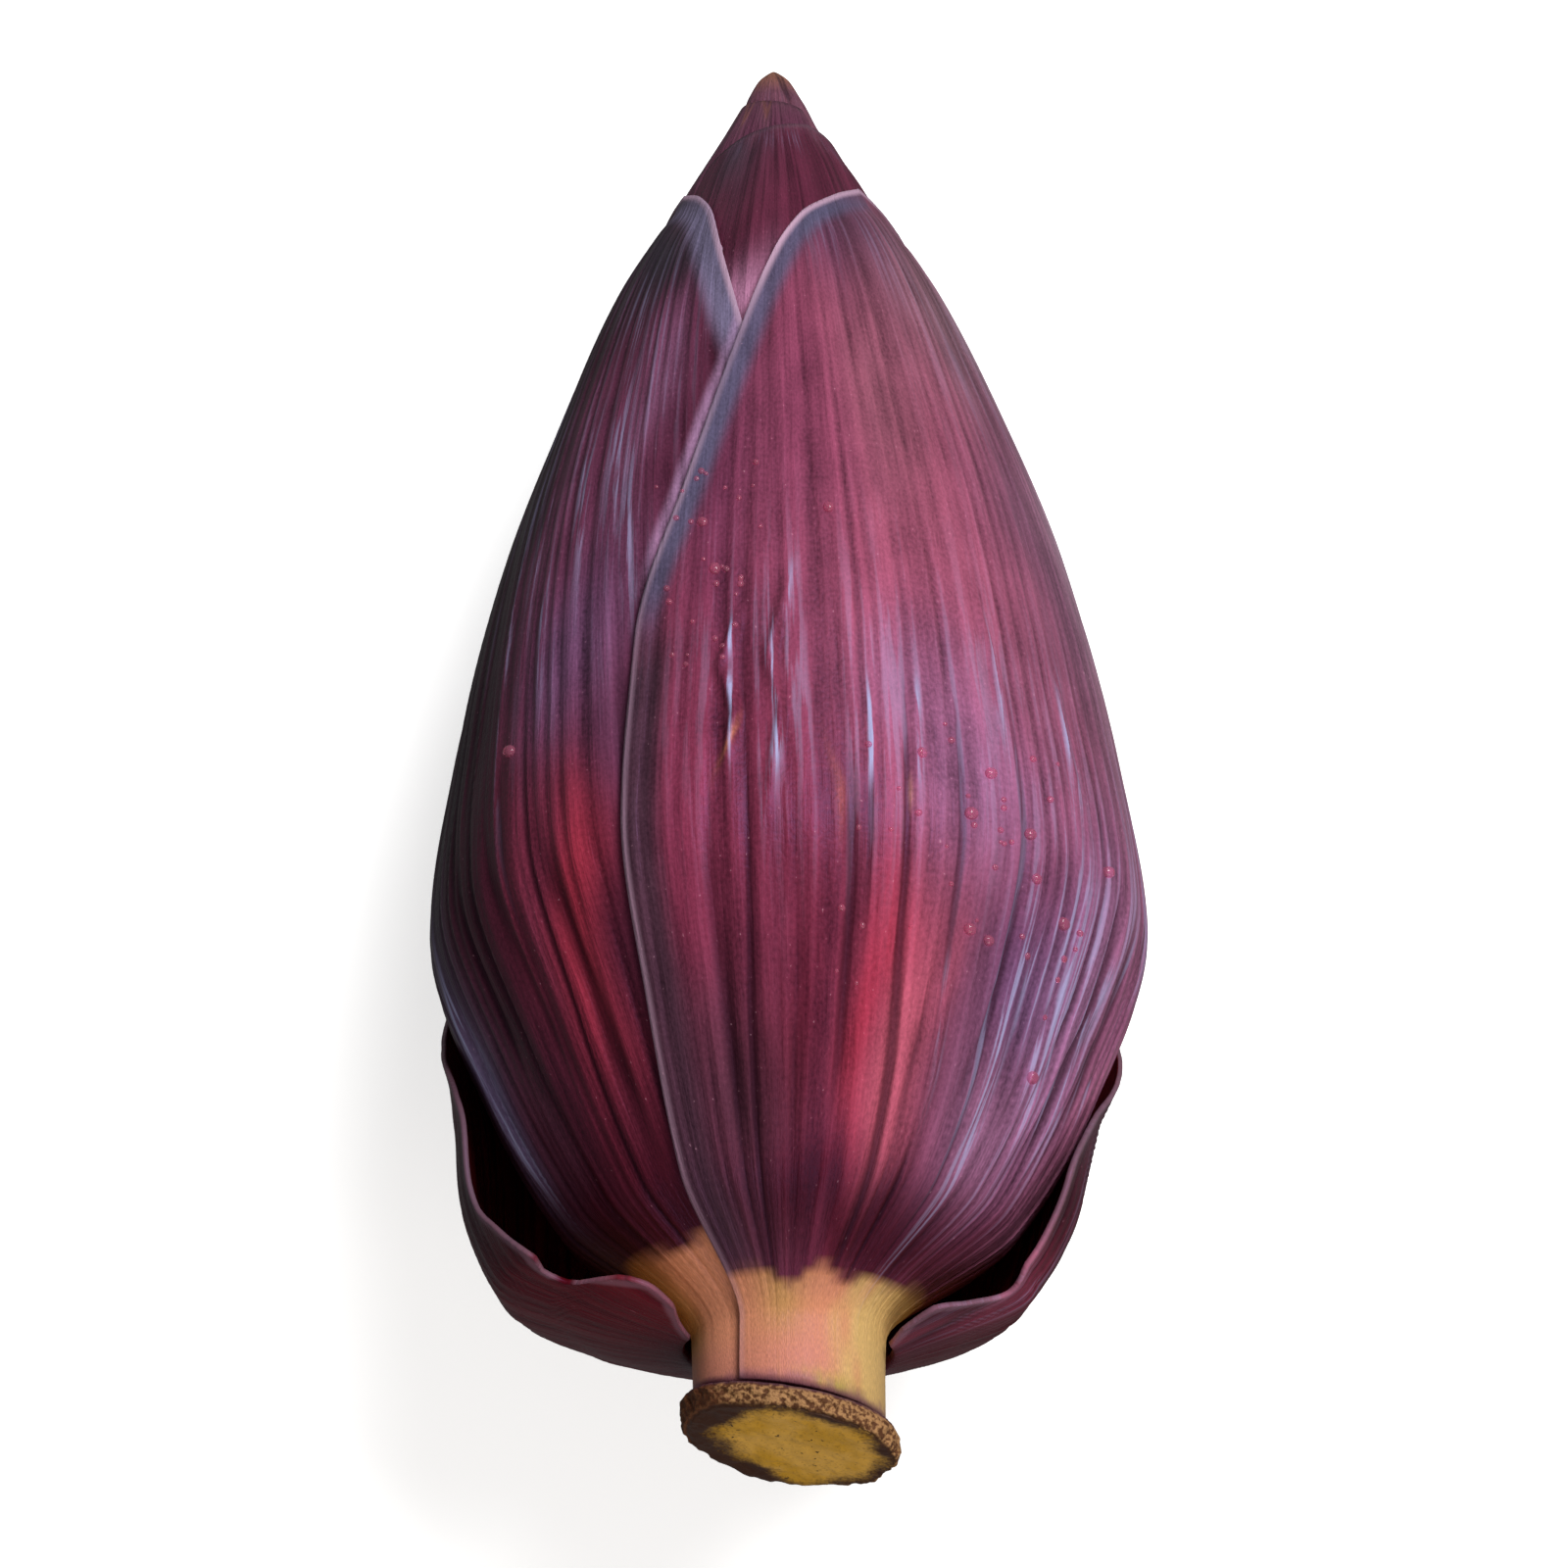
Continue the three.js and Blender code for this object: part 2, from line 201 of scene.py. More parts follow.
@dataclass(frozen=True)
class BudForm:
    """The closed bud that all the bracts lie on, along its own axis from the cut to the tip."""

    length: float = 258.0
    flattening: float = 0.95
    layer_pitch: float = 2.3
    cup_clearance: float = 2.8
    tip_drop: float = 6.5
    rest_height: float = 106.0
    rest_press: float = 1.8
    stalk_lean: float = -1.3
    cut_slant: float = 10.0
    radius: Curve = field(
        default=curve_through(
            (0, 15.4), (15, 15.7), (33, 36.8), (57, 50.3), (86, 59.8), (116, 56.4), (150, 49.4),
            (181, 39.3), (206, 29.5), (227, 18.0), (242, 9.9), (252, 4.6), (258, 0),
        )
    )

    def height(self, place: Array) -> Array:
        """Height along the axis of a place on the bud's meridian, which is that place itself."""
        return np.asarray(place, float)

    def lean(self, height: Array) -> Array:
        """Sideways shift of the meridian, none on the closed bud."""
        return np.zeros_like(height)

    def skin_radius(self, place: Array) -> Array:
        """Radius of the outer skin at a place on the meridian."""
        return self.radius(place)

    def clearance(self) -> float:
        """How far this skin lies under the outermost one on the belly."""
        return self.cup_clearance

    def belly_z(self) -> float:
        """Height of the pressed belly where it rests, in the bud's own frame."""
        belly = self.flattening * (float(self.radius(self.rest_height)) + self.cup_clearance)
        return self.rest_press - belly

    def origin(self) -> Vector:
        """Where the foot of the bud's axis is in the row frame, in metres."""
        drop = math.radians(self.tip_drop)
        ring_low, ring_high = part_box("peduncle")
        tip_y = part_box("bud_tip")[1][1]
        rest_z = self.belly_z()
        return Vector((
            (ring_low[0] + ring_high[0]) / 2 - self.stalk_lean * MM,
            tip_y - self.length * math.cos(drop) * MM,
            (self.rest_height * math.sin(drop) - rest_z * math.cos(drop)) * MM,
        ))

    def to_row(self, points: Array) -> Array:
        """Lays points from the bud's own frame, in millimetres, into the row frame, in metres."""
        drop = math.radians(self.tip_drop)
        x, y, z = points.T
        laid = np.stack([
            x,
            y * math.cos(drop) + z * math.sin(drop),
            -y * math.sin(drop) + z * math.cos(drop),
        ], axis=1)
        return laid * MM + np.array(self.origin())

    def rest_plane(self, height: Array) -> Array:
        """Lowest z that the outermost skin may reach at a height along the axis."""
        return self.belly_z() + (height - self.rest_height) * math.tan(math.radians(self.tip_drop))

    def skin(self, place: Array, azimuth: Array, depth: Array) -> Array:
        """Lays points at a depth under the skin.

        Args:
            place: Places along the meridian.
            azimuth: Degrees round the bud.
            depth: Depth under the outer skin, along the meridian's normal.

        Returns:
            Points in the bud's frame, one row each, in millimetres.
        """
        step = 0.5
        rise = self.height(place + step) - self.height(place - step)
        spread = self.skin_radius(place + step) - self.skin_radius(place - step)
        run = np.maximum(np.hypot(rise, spread), 1e-9)
        height = self.height(place) + depth * spread / run
        radius = np.maximum(self.skin_radius(place) - depth * rise / run, 0.0)
        x = self.lean(height) + radius * np.sin(np.radians(azimuth))
        z = self.flattening * radius * np.cos(np.radians(azimuth))
        z = np.maximum(z, self.rest_plane(height) + self.clearance() + depth)
        return lean_stalk(self, np.stack([x, height, z], axis=1))


def lean_stalk(form: BudForm, points: Array) -> Array:
    """Puts in the stalk's sideways lean and the slant of its cut.

    Args:
        form: The bud's form, which holds both.
        points: Points in the bud's frame.

    Returns:
        The shifted points.
    """
    x, height, z = points.T
    shift = form.stalk_lean * (1 - smooth_step(height, 8, 50))
    slant = math.tan(math.radians(form.cut_slant)) * (1 - smooth_step(height, 2, 18))
    return np.stack([x + shift, height - x * slant, z], axis=1)


@dataclass(frozen=True)
class CupForm(BudForm):
    """The rear bract's form: a cup that stands off round the neck, then closes on to the belly."""

    join: float = 93.0
    cup_lean: float = -3.5
    cup_height: Curve = field(
        default=curve_through(
            (0, 13), (5, 14.5), (12, 16.5), (19, 19), (28, 23), (35, 29), (45, 38), (59, 52),
            (78, 70), (93, 85), (159, 150), (218, 206),
        )
    )
    cup_radius: Curve = field(
        default=curve_through(
            (0, 17.2), (5, 22), (12, 28.7), (19, 35.5), (28, 42.9), (35, 47), (45, 50.5), (59, 53),
            (67, 55.5), (78, 59.2), (93, 62.57),
        )
    )
    lean_share: Curve = field(
        default=curve_through((13, 0), (19, 0.15), (24, 1), (38, 1), (52, 0.7), (60, 0.3), (70, 0))
    )

    def height(self, place: Array) -> Array:
        """Height along the axis of a place on the cup's meridian."""
        return self.cup_height(place)

    def lean(self, height: Array) -> Array:
        """The cup is wider on one side by this shift."""
        return self.cup_lean * self.lean_share(height)

    def skin_radius(self, place: Array) -> Array:
        """Radius of the cup, which follows the bud above the join."""
        above = self.radius(self.cup_height(place)) + self.cup_clearance
        return np.where(np.asarray(place) < self.join, self.cup_radius(place), above)

    def clearance(self) -> float:
        """The rear bract is the outermost skin itself."""
        return 0.0


@dataclass(frozen=True)
class Outline:
    """A bract's margins: azimuths of both sides against the place along its meridian."""

    foot: float
    tip: float
    start: Curve
    end: Curve
    shoulder: float = 22.0  # the rounded top begins this far below the tip

    def loop(self, samples: int = 70) -> tuple[Array, Array]:
        """The margin as one line up the start side and down the end side.

        Args:
            samples: Points on each side.

        Returns:
            Azimuths and places of its points.
        """
        crowd = np.sin(np.linspace(0, 0.5 * np.pi, samples))
        place = self.foot + (self.tip - self.foot) * crowd
        places = np.concatenate([place, place[::-1]])
        azimuths = np.concatenate([self.start(place), self.end(place[::-1])])
        return azimuths, places

    def spread(self, u: Array, v: Array) -> tuple[Array, Array]:
        """Lays a unit square on the bract: u runs across it and v from its foot to its top margin.

        Args:
            u: Across, from 0 to 1.
            v: Along, from 0 to 1.

        Returns:
            Places along the meridian and azimuths.
        """
        corner = self.tip - self.shoulder
        side = self.foot + (corner - self.foot) * v
        azimuth = self.start(side) * (1 - u) + self.end(side) * u
        places = np.linspace(corner, self.tip, 400)
        rising, falling = self.start(places), self.end(places)[::-1]
        line = np.concatenate([rising, falling])
        levels = np.concatenate([places, places[::-1]])
        top_azimuth = self.start(corner) * (1 - u) + self.end(corner) * u
        top = np.interp(top_azimuth, line, levels)
        # The rows bend gradually to follow the rounded top
        share = smooth_step(v, 0.35, 1.0) ** 1.5
        return side + share * (top - corner), azimuth

    def depth_inside(self, form: BudForm, place: Array, azimuth: Array) -> Array:
        """Distance from this bract's margin.

        Args:
            form: The form that the places are measured on.
            place: Places along the meridian.
            azimuth: Azimuths in degrees.

        Returns:
            Millimetres, positive inside the bract and negative outside it.
        """
        scale = np.radians(np.maximum(form.skin_radius(place), 0.5))
        nearest = distance_squared(self.loop(), azimuth, place, scale)
        level = np.clip(place, self.foot, self.tip)
        middle = (self.start(level) + self.end(level)) / 2
        half = (self.end(level) - self.start(level)) / 2
        turn = np.abs(wrapped(azimuth - middle))
        inside = (turn <= half) & (place <= self.tip)
        return np.where(inside, 1.0, -1.0) * np.sqrt(nearest)


BUD = BudForm()
CUP = CupForm()


# ---------------------------------------------------------------- making meshes


def only(piece: Piece) -> None:
    """Makes one piece the only selected and active object."""
    bpy.ops.object.select_all(action="DESELECT")
    piece.select_set(True)
    bpy.context.view_layer.objects.active = piece


def apply_modifier(piece: Piece, kind: str, **settings: Any) -> None:
    """Adds a modifier, sets it and applies it.

    Args:
        piece: The piece.
        kind: Blender's name of the kind of modifier.
        settings: Its settings by name.
    """
    modifier = piece.modifiers.new(kind.title(), kind)
    for name, value in settings.items():
        setattr(modifier, name, value)
    only(piece)
    bpy.ops.object.modifier_apply(modifier=modifier.name)


def edit_all(piece: Piece, operator: Callable[..., Any], **settings: Any) -> None:
    """Runs one operator on the whole of a piece's mesh in edit mode.

    Args:
        piece: The piece.
        operator: The mesh operator.
        settings: Its settings by name.
    """
    only(piece)
    bpy.ops.object.mode_set(mode="EDIT")
    bpy.ops.mesh.select_all(action="SELECT")
    operator(**settings)
    bpy.ops.object.mode_set(mode="OBJECT")


def unit_grid(name: str, columns: int, rows: int, cuts: int) -> tuple[Piece, Array, Array]:
    """Adds a flat grid and cuts it finer in edit mode, ready to be laid on a form.

    Args:
        name: Name of the piece.
        columns: Cells across before the cuts.
        rows: Cells along before the cuts.
        cuts: Cuts through each cell.

    Returns:
        The piece, and u and v of its corners between 0 and 1.
    """
    bpy.ops.object.select_all(action="DESELECT")
    bpy.ops.mesh.primitive_grid_add(x_subdivisions=columns, y_subdivisions=rows, size=1)
    piece = bpy.context.active_object
    piece.name = piece.data.name = name
    edit_all(piece, bpy.ops.mesh.subdivide, number_cuts=cuts)
    corners = np.empty(len(piece.data.vertices) * 3)
    piece.data.vertices.foreach_get("co", corners)
    corners = corners.reshape(-1, 3) + 0.5
    return piece, corners[:, 0], corners[:, 1]


def lay(piece: Piece, points: Array, outwards: Array) -> None:
    """Moves every corner of a piece to its point, with its faces outwards.

    Args:
        piece: The piece.
        points: One point for each corner, in metres.
        outwards: The way out at each corner.
    """
    piece.data.vertices.foreach_set("co", points.astype(np.float32).ravel())
    piece.data.update()
    normals = np.empty(points.size)
    piece.data.vertices.foreach_get("normal", normals)
    if float(np.sum(normals.reshape(-1, 3) * outwards)) < 0:
        edit_all(piece, bpy.ops.mesh.flip_normals)


def store(piece: Piece, **layers: Array) -> None:
    """Stores a number, or a vector of three, at every corner.

    Args:
        piece: The piece.
        layers: The rows of each layer, by the name that the material reads.
    """
    for name, values in layers.items():
        single = values.ndim == 1
        layer = piece.data.attributes.new(name, "FLOAT" if single else "FLOAT_VECTOR", "POINT")
        layer.data.foreach_set("value" if single else "vector", values.astype(np.float32).ravel())


def finish_piece(piece: Piece, node: str = "", slot: str = "") -> None:
    """Shades a piece smooth and says what it is.

    Args:
        piece: The piece.
        node: The node that it stands for, if any.
        slot: The record's slot that it takes its finish from, if any; not used.
    """
    only(piece)
    bpy.ops.object.shade_smooth()
    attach(piece, BODY)
    if node:
        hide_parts(node)
    log.info("%s: %d faces", piece.name, len(piece.data.polygons))


# ---------------------------------------------------------------- making materials


class Kind(Enum):
    """The kinds of node that the finishes are made of."""

    ATTRIBUTE = "ShaderNodeAttribute"
    PLACE = "ShaderNodeTexCoord"
    MAPPING = "ShaderNodeMapping"
    NOISE = "ShaderNodeTexNoise"
    RANGE = "ShaderNodeMapRange"
    MATH = "ShaderNodeMath"
    MIX = "ShaderNodeMix"
    BUMP = "ShaderNodeBump"


def connect(tree: bpy.types.NodeTree, node: Any, inputs: dict) -> None:
    """Links or sets a node's inputs.

    Args:
        tree: The node's tree.
        node: The node.
        inputs: A value, a socket, a node whose first live output is meant, or None to leave the
            input alone, by the input's name or number.
    """
    for key, value in inputs.items():
        if isinstance(value, bpy.types.Node):
            value = next(output for output in value.outputs if output.enabled)
        if isinstance(value, bpy.types.NodeSocket):
            tree.links.new(value, node.inputs[key])
        elif value is not None:
            node.inputs[key].default_value = value


@dataclass
class NodeBench:
    """A material under construction, with its tree and its shader."""

    name: str

    def __post_init__(self) -> None:
        """Makes the material with only its shader and output."""
        self.material = bpy.data.materials.new(self.name)
        self.material.use_nodes = True
        self.tree = self.material.node_tree
        self.shader = self.tree.nodes["Principled BSDF"]

    def add(self, kind: Kind, inputs: dict | None = None, **settings: Any) -> Any:
        """Adds a node with its settings and links.

        Args:
            kind: The kind of node.
            inputs: What goes into its inputs.
            settings: The node's own settings by name.

        Returns:
            The node.
        """
        node = self.tree.nodes.new(kind.value)
        for name, value in settings.items():
            setattr(node, name, value)
        connect(self.tree, node, inputs or {})
        return node

    def set_shader(self, **values: Any) -> None:
        """Sets or links the shader's inputs, by names with underscores for spaces."""
        inputs = {name.replace("_", " "): value for name, value in values.items()}
        connect(self.tree, self.shader, inputs)


@dataclass(frozen=True)
class BractSkin:
    """Outside of a bract: tough plant skin under a thin natural wax.

    The wax gives a soft, broad sheen rather than a mirror gloss. Where it is thick it shows as a
    blue-grey bloom, which is rougher. It is laid on the backs of ribs and on raised folds, and there it
    is also a painted highlight. Fine veins run lengthwise; their backs are painted paler and the grooves
    darker, as painted highlight and shade.
    """

    name: str = "waxy_bract_skin"
    bloom: str = "#a4a4cc"
    # Painted shade laid in the grooves between folds
    groove: str = "#1c060d"
    # Pale margin colour, partly the margin's own and partly a painted highlight on the rolled rim
    pale_margin_and_highlight: str = "#c4a0b8"
    speck: str = "#d9a8b8"
    sheen: str = "#c090d8"
    roughness: float = 0.4
    # Degrees round the bud and millimetres along it in a cell of each pattern, and its octaves
    streaks: tuple[float, float, float] = (0.6, 12.0, 4.0)
    broad_streaks: tuple[float, float, float] = (2.2, 44.0, 4.0)
    clouds: tuple[float, float, float] = (7.0, 14.0, 4.0)
    scuffs: tuple[float, float, float] = (1.1, 24.0, 4.0)
    leather: tuple[float, float, float] = (0.6, 0.8, 2.0)
    flecks: tuple[float, float, float] = (0.6, 0.8, 1.0)

    def material(self) -> Finish:
        """Builds the material."""
        bench = NodeBench(self.name)
        add = bench.add
        vein = add(Kind.ATTRIBUTE, attribute_name="vein").outputs["Vector"]
        tone = add(Kind.ATTRIBUTE, attribute_name="tone").outputs["Color"]
        fold, rib, edge, pale, bloom_and_highlight_amount, neck = (
            add(Kind.ATTRIBUTE, attribute_name=name).outputs["Fac"]
            for name in ("fold", "rib", "edge", "pale_rim", "bloom", "neck")
        )
        patterns = []
        for round_bud, along, detail in (
            self.streaks, self.broad_streaks, self.clouds, self.leather, self.scuffs, self.flecks,
        ):
            cells = add(Kind.MAPPING, {"Vector": vein, "Scale": (1 / round_bud, 1 / along, 1.0)})
            patterns.append(add(Kind.NOISE, {"Vector": cells, "Scale": 1.0, "Detail": detail}))
        fine, broad, mottle, grain, scuffed, specks = patterns
        # Ribs are painted paler on their backs and darker between them, as painted highlight and shade,
        # and streaks run between them, all fainter on the neck. The sum starts at minus half the noises'
        # weights, so that they swing about the skin's own tone
        gain: Any = -1.2
        for pattern, weight in ((rib, 0.36), (fine, 0.55), (broad, 0.85), (mottle, 1.0)):
            gain = add(Kind.MATH, {0: pattern, 1: weight, 2: gain}, operation="MULTIPLY_ADD")
        share = add(Kind.MATH, {0: neck, 1: -0.9, 2: 1.0}, operation="MULTIPLY_ADD")
        gain = add(Kind.MATH, {0: gain, 1: share, 2: 0.55}, operation="MULTIPLY_ADD")
        gain = add(Kind.MATH, {0: grain, 1: 0.9, 2: gain}, operation="MULTIPLY_ADD")
        gain = add(Kind.MATH, {0: gain, 1: 0.2}, operation="MAXIMUM")
        mixed = {0: 1.0, 6: tone, 7: gain}
        colour = add(Kind.MIX, mixed, data_type="RGBA", blend_type="MULTIPLY")
        # Painted shade darkens the grooves. The backs of ribs carry scuffed wax bloom, which is also a
        # painted highlight there. The margin is painted pale, partly its own colour and partly a painted
        # highlight on the rolled rim
        bands = []
        for value, low, high, top in (
            (fold, 0.0, -0.8, 0.7), (scuffed, 0.46, 0.58, 1.0), (rib, -0.3, 0.7, 1.0),
            (specks, 0.74, 0.82, 0.3), (edge, 1.5, 0.3, 1.0),
        ):
            limits = {"Value": value, "From Min": low, "From Max": high, "To Max": top}
            bands.append(add(Kind.RANGE, limits, interpolation_type="SMOOTHSTEP"))
        crease_shade, scuffed, raised, specks, rim = bands
        purple = add(Kind.MATH, {0: 1.0, 1: neck}, operation="SUBTRACT")
        crease_shade = add(Kind.MATH, {0: crease_shade, 1: purple}, operation="MULTIPLY")
        bloom_and_highlight_share = add(Kind.MATH, {0: bloom_and_highlight_amount, 1: scuffed}, operation="MULTIPLY")
        bloom_and_highlight_share = add(Kind.MATH, {0: bloom_and_highlight_share, 1: raised}, operation="MULTIPLY", use_clamp=True)
        rim = add(Kind.MATH, {0: rim, 1: pale}, operation="MULTIPLY")
        for amount, tint in (
            (crease_shade, self.groove), (bloom_and_highlight_share, self.bloom), (specks, self.speck), (rim, self.pale_margin_and_highlight),
        ):
            colour = add(Kind.MIX, {0: amount, 6: colour, 7: linear(tint)}, data_type="RGBA")
        rough = self.roughness - 0.1
        for pattern in (bloom_and_highlight_share, grain):
            rough = add(Kind.MATH, {0: pattern, 1: 0.2, 2: rough}, operation="MULTIPLY_ADD")
        # Streaks and leathery grain are each about half a millimetre across
        streaky = add(Kind.MATH, {0: fine, 1: share}, operation="MULTIPLY")
        wavy = add(Kind.MATH, {0: broad, 1: share}, operation="MULTIPLY")
        normal = None
        for height, relief, strength in ((streaky, 0.2, 0.7), (wavy, 0.5, 0.6), (grain, 0.1, 0.8)):
            inputs = {"Height": height, "Distance": relief * MM, "Strength": strength}
            normal = add(Kind.BUMP, inputs | {"Normal": normal})
        bench.set_shader(Base_Color=colour, Roughness=rough, Normal=normal)
        bench.set_shader(Specular_IOR_Level=0.26, Specular_Tint=linear(self.sheen))
        return bench.material


@dataclass(frozen=True)
class BractLining:
    """Inside of a bract: smooth crimson tissue with no wax, turning yellow at its foot."""

    name: str = "crimson_bract_lining"
    deep: str = "#48060e"
    light: str = "#70101a"
    foot: str = "#b98a2c"

    def material(self) -> Finish:
        """Builds the material."""
        bench = NodeBench(self.name)
        add = bench.add
        vein = add(Kind.ATTRIBUTE, attribute_name="vein").outputs["Vector"]
        stalkward = add(Kind.ATTRIBUTE, attribute_name="foot").outputs["Fac"]
        # Ribs 2.2 degrees apart, 60 mm long
        cells = add(Kind.MAPPING, {"Vector": vein, "Scale": (1 / 2.2, 1 / 60, 1.0)})
        ribs = add(Kind.NOISE, {"Vector": cells, "Scale": 1.0, "Detail": 3.0})
        limits = {"Value": ribs, "From Min": 0.35, "From Max": 0.65}
        banded = add(Kind.RANGE, limits, interpolation_type="SMOOTHSTEP")
        colour: Any = linear(self.deep)
        for amount, tint in ((banded, self.light), (stalkward, self.foot)):
            colour = add(Kind.MIX, {0: amount, 6: colour, 7: linear(tint)}, data_type="RGBA")
        normal = add(Kind.BUMP, {"Height": ribs, "Distance": 0.5 * MM, "Strength": 0.6})
        bench.set_shader(Base_Color=colour, Roughness=0.42, Normal=normal)
        return bench.material


@dataclass(frozen=True)
class CutStalk:
    """Cut stalk: wet, fibrous, olive-yellow flesh that browns towards a corky gold-brown scar ring."""

    name: str = "cut_stalk_flesh_and_scar"
    flesh: str = "#d09c28"
    pale: str = "#e4b04c"
    brown: str = "#3c1c08"
    pit: str = "#2a1405"
    cork: str = "#a87c50"
    dark_cork: str = "#5a3418"
    # Painted shade colour for the side of the ring turned from the light
    crust: str = "#5a2c10"
    lip: str = "#4c2838"
    # Millimetres in a cell of each pattern, and its octaves
    fibres: tuple[float, float] = (0.5, 3.0)
    clouds: tuple[float, float] = (7.0, 3.0)
    pits: tuple[float, float] = (0.9, 1.0)
    cracks: tuple[float, float] = (0.8, 4.0)

    def material(self) -> Finish:
        """Builds the material."""
        bench = NodeBench(self.name)
        add = bench.add
        place = add(Kind.PLACE).outputs["Object"]
        face, rim, crusty, lip = (
            add(Kind.ATTRIBUTE, attribute_name=name).outputs["Fac"]
            for name in ("cut", "rim", "crust", "lip")
        )
        patterns = []
        for (cell, detail), stretch in (
            (self.fibres, 1.0), (self.clouds, 1.0), (self.pits, 1.0), (self.cracks, 1.5),
        ):
            across = 1 / (cell * MM)
            cells = add(Kind.MAPPING, {"Vector": place, "Scale": (across, across, across / stretch)})
            patterns.append(add(Kind.NOISE, {"Vector": cells, "Scale": 1.0, "Detail": detail}))
        fibres, clouds, pits, cracks = patterns
        # The flesh browns unevenly towards its rim, and the ring and the flesh are painted darker on the
        # side turned from the light, as painted shade
        sums = []
        for so_far, rows in (
            (-0.35, ((rim, 1.0), (clouds, 0.5), (fibres, 0.2), (crusty, 0.22))),
            (-0.6, ((crusty, 1.0), (clouds, 1.2))),
        ):
            for pattern, weight in rows:
                weighted = {0: pattern, 1: weight, 2: so_far}
                so_far = add(Kind.MATH, weighted, operation="MULTIPLY_ADD")
            sums.append(so_far)
        bands = []
        for value, low, high, top in (
            (clouds, 0.35, 0.62, 1.0), (fibres, 0.52, 0.7, 0.3), (pits, 0.72, 0.77, 1.0),
            (sums[0], 0.7, 0.97, 1.0), (cracks, 0.42, 0.58, 1.0), (sums[1], 0.35, 0.85, 0.85),
        ):
            limits = {"Value": value, "From Min": low, "From Max": high, "To Max": top}
            bands.append(add(Kind.RANGE, limits, interpolation_type="SMOOTHSTEP"))
        flesh: Any = linear(self.flesh)
        for amount, tint in zip(bands[:4], (self.pale, self.brown, self.pit, self.brown)):
            flesh = add(Kind.MIX, {0: amount, 6: flesh, 7: linear(tint)}, data_type="RGBA")
        cork: Any = linear(self.dark_cork)
        for amount, tint in zip(bands[4:], (self.cork, self.crust)):
            cork = add(Kind.MIX, {0: amount, 6: cork, 7: linear(tint)}, data_type="RGBA")
        colour = add(Kind.MIX, {0: face, 6: cork, 7: flesh}, data_type="RGBA")
        colour = add(Kind.MIX, {0: lip, 6: colour, 7: linear(self.lip)}, data_type="RGBA")
        rough = add(Kind.MATH, {0: face, 1: -0.25, 2: 0.75}, operation="MULTIPLY_ADD")
        on_ring = add(Kind.MATH, {0: 1.0, 1: face}, operation="SUBTRACT")
        cracked = add(Kind.MATH, {0: cracks, 1: on_ring}, operation="MULTIPLY")
        normal = None
        for height, relief, strength in ((fibres, 0.15, 0.6), (cracked, 0.8, 0.8)):
            inputs = {"Height": height, "Distance": relief * MM, "Strength": strength}
            normal = add(Kind.BUMP, inputs | {"Normal": normal})
        bench.set_shader(Base_Color=colour, Roughness=rough, Normal=normal, Specular_IOR_Level=0.35)
        return bench.material


@dataclass(frozen=True)
class WaterBead:
    """Drops of clean water, with a small bright highlight, a tight edge and the skin's pink painted in.
    """

    name: str = "clear_water"
    # Painted: the skin's colour seen through a drop is put into the water's own colour
    painted_skin_tint: str = "#c4708c"  # the skin's colour that a drop picks up

    def material(self) -> Finish:
        """Builds the material."""
        bench = NodeBench(self.name)
        bench.set_shader(Base_Color=linear(self.painted_skin_tint), Roughness=0.03)
        bench.set_shader(IOR=1.333, Transmission_Weight=0.7)
        return bench.material


@dataclass(frozen=True)
class StudioFloor:
    """Matt white paper floor, with fibres of about half a millimetre."""

    name: str = "matt_white_paper"
    paper: str = "#f4f4f4"
    glow: float = 0.62
    fibre: float = 0.0006

    def material(self) -> Finish:
        """Builds the material."""
        bench = NodeBench(self.name)
        place = bench.add(Kind.PLACE).outputs["Object"]
        cells = bench.add(Kind.MAPPING, {"Vector": place, "Scale": (1 / self.fibre,) * 3})
        fibres = bench.add(Kind.NOISE, {"Vector": cells, "Scale": 1.0, "Detail": 2.0})
        normal = bench.add(Kind.BUMP, {"Height": fibres, "Distance": 0.02 * MM, "Strength": 0.2})
        bench.set_shader(Base_Color=linear(self.paper), Roughness=0.9, Normal=normal)
        bench.set_shader(Emission_Color=linear("#ffffff"), Emission_Strength=self.glow)
        return bench.material


# ---------------------------------------------------------------- the look of each bract's surface


@dataclass(frozen=True)
class Patch:
    """A soft patch on the bud, which leans so that its azimuth changes with height."""

    azimuth: float
    height: float
    wide: float
    tall: float
    colour: str = ""
    amount: float = 1.0
    lean: float = 0.0

    def weight(self, azimuth: Array, height: Array) -> Array:
        """Strength of the patch, which fades from its amount to nothing."""
        rise = height - self.height
        turn = wrapped(azimuth - self.azimuth - self.lean * rise)
        return self.amount * np.exp(-((turn / self.wide) ** 2) - (rise / self.tall) ** 2)


def painted(*rows: tuple) -> tuple[Patch, ...]:
    """Patches of colour, each given by azimuth, height, width, tallness, colour and amount."""
    return tuple(Patch(*row) for row in rows)


def dusted(*rows: tuple) -> tuple[Patch, ...]:
    """Patches with no colour, each given by azimuth, height, width, tallness, amount and lean."""
    return tuple(Patch(*row[:4], "", *row[4:]) for row in rows)


def total(patches: tuple[Patch, ...], azimuth: Array, height: Array) -> Array:
    """Strengths of all the patches together."""
    return sum((patch.weight(azimuth, height) for patch in patches), np.zeros_like(height))


@dataclass(frozen=True)
class MarginBand:
    """A band of colour that follows a margin at one side of the bract."""

    low: float
    high: float
    wide: float
    colour: str
    amount: float = 1.0
    side: float = -1.0  # -1 for the start side, 1 for the end side, 0 for both

    def weight(self, distance: Array, height: Array, across: Array) -> Array:
        """Strength of the band.

        Args:
            distance: Millimetres from the margin that it follows.
            height: Height along the axis.
            across: Place across the bract, from -1 to 1.

        Returns:
            The strength, from 0 to the band's amount.
        """
        near = 1 - smooth_step(np.abs(distance), self.wide * 0.55, self.wide * 1.25)
        ends = smooth_step(height, self.low - 12, self.low + 8)
        ends = ends * (1 - smooth_step(height, self.high - 8, self.high + 8))
        here = 1.0 if self.side == 0 else (across * self.side > 0)
        return self.amount * near * ends * here


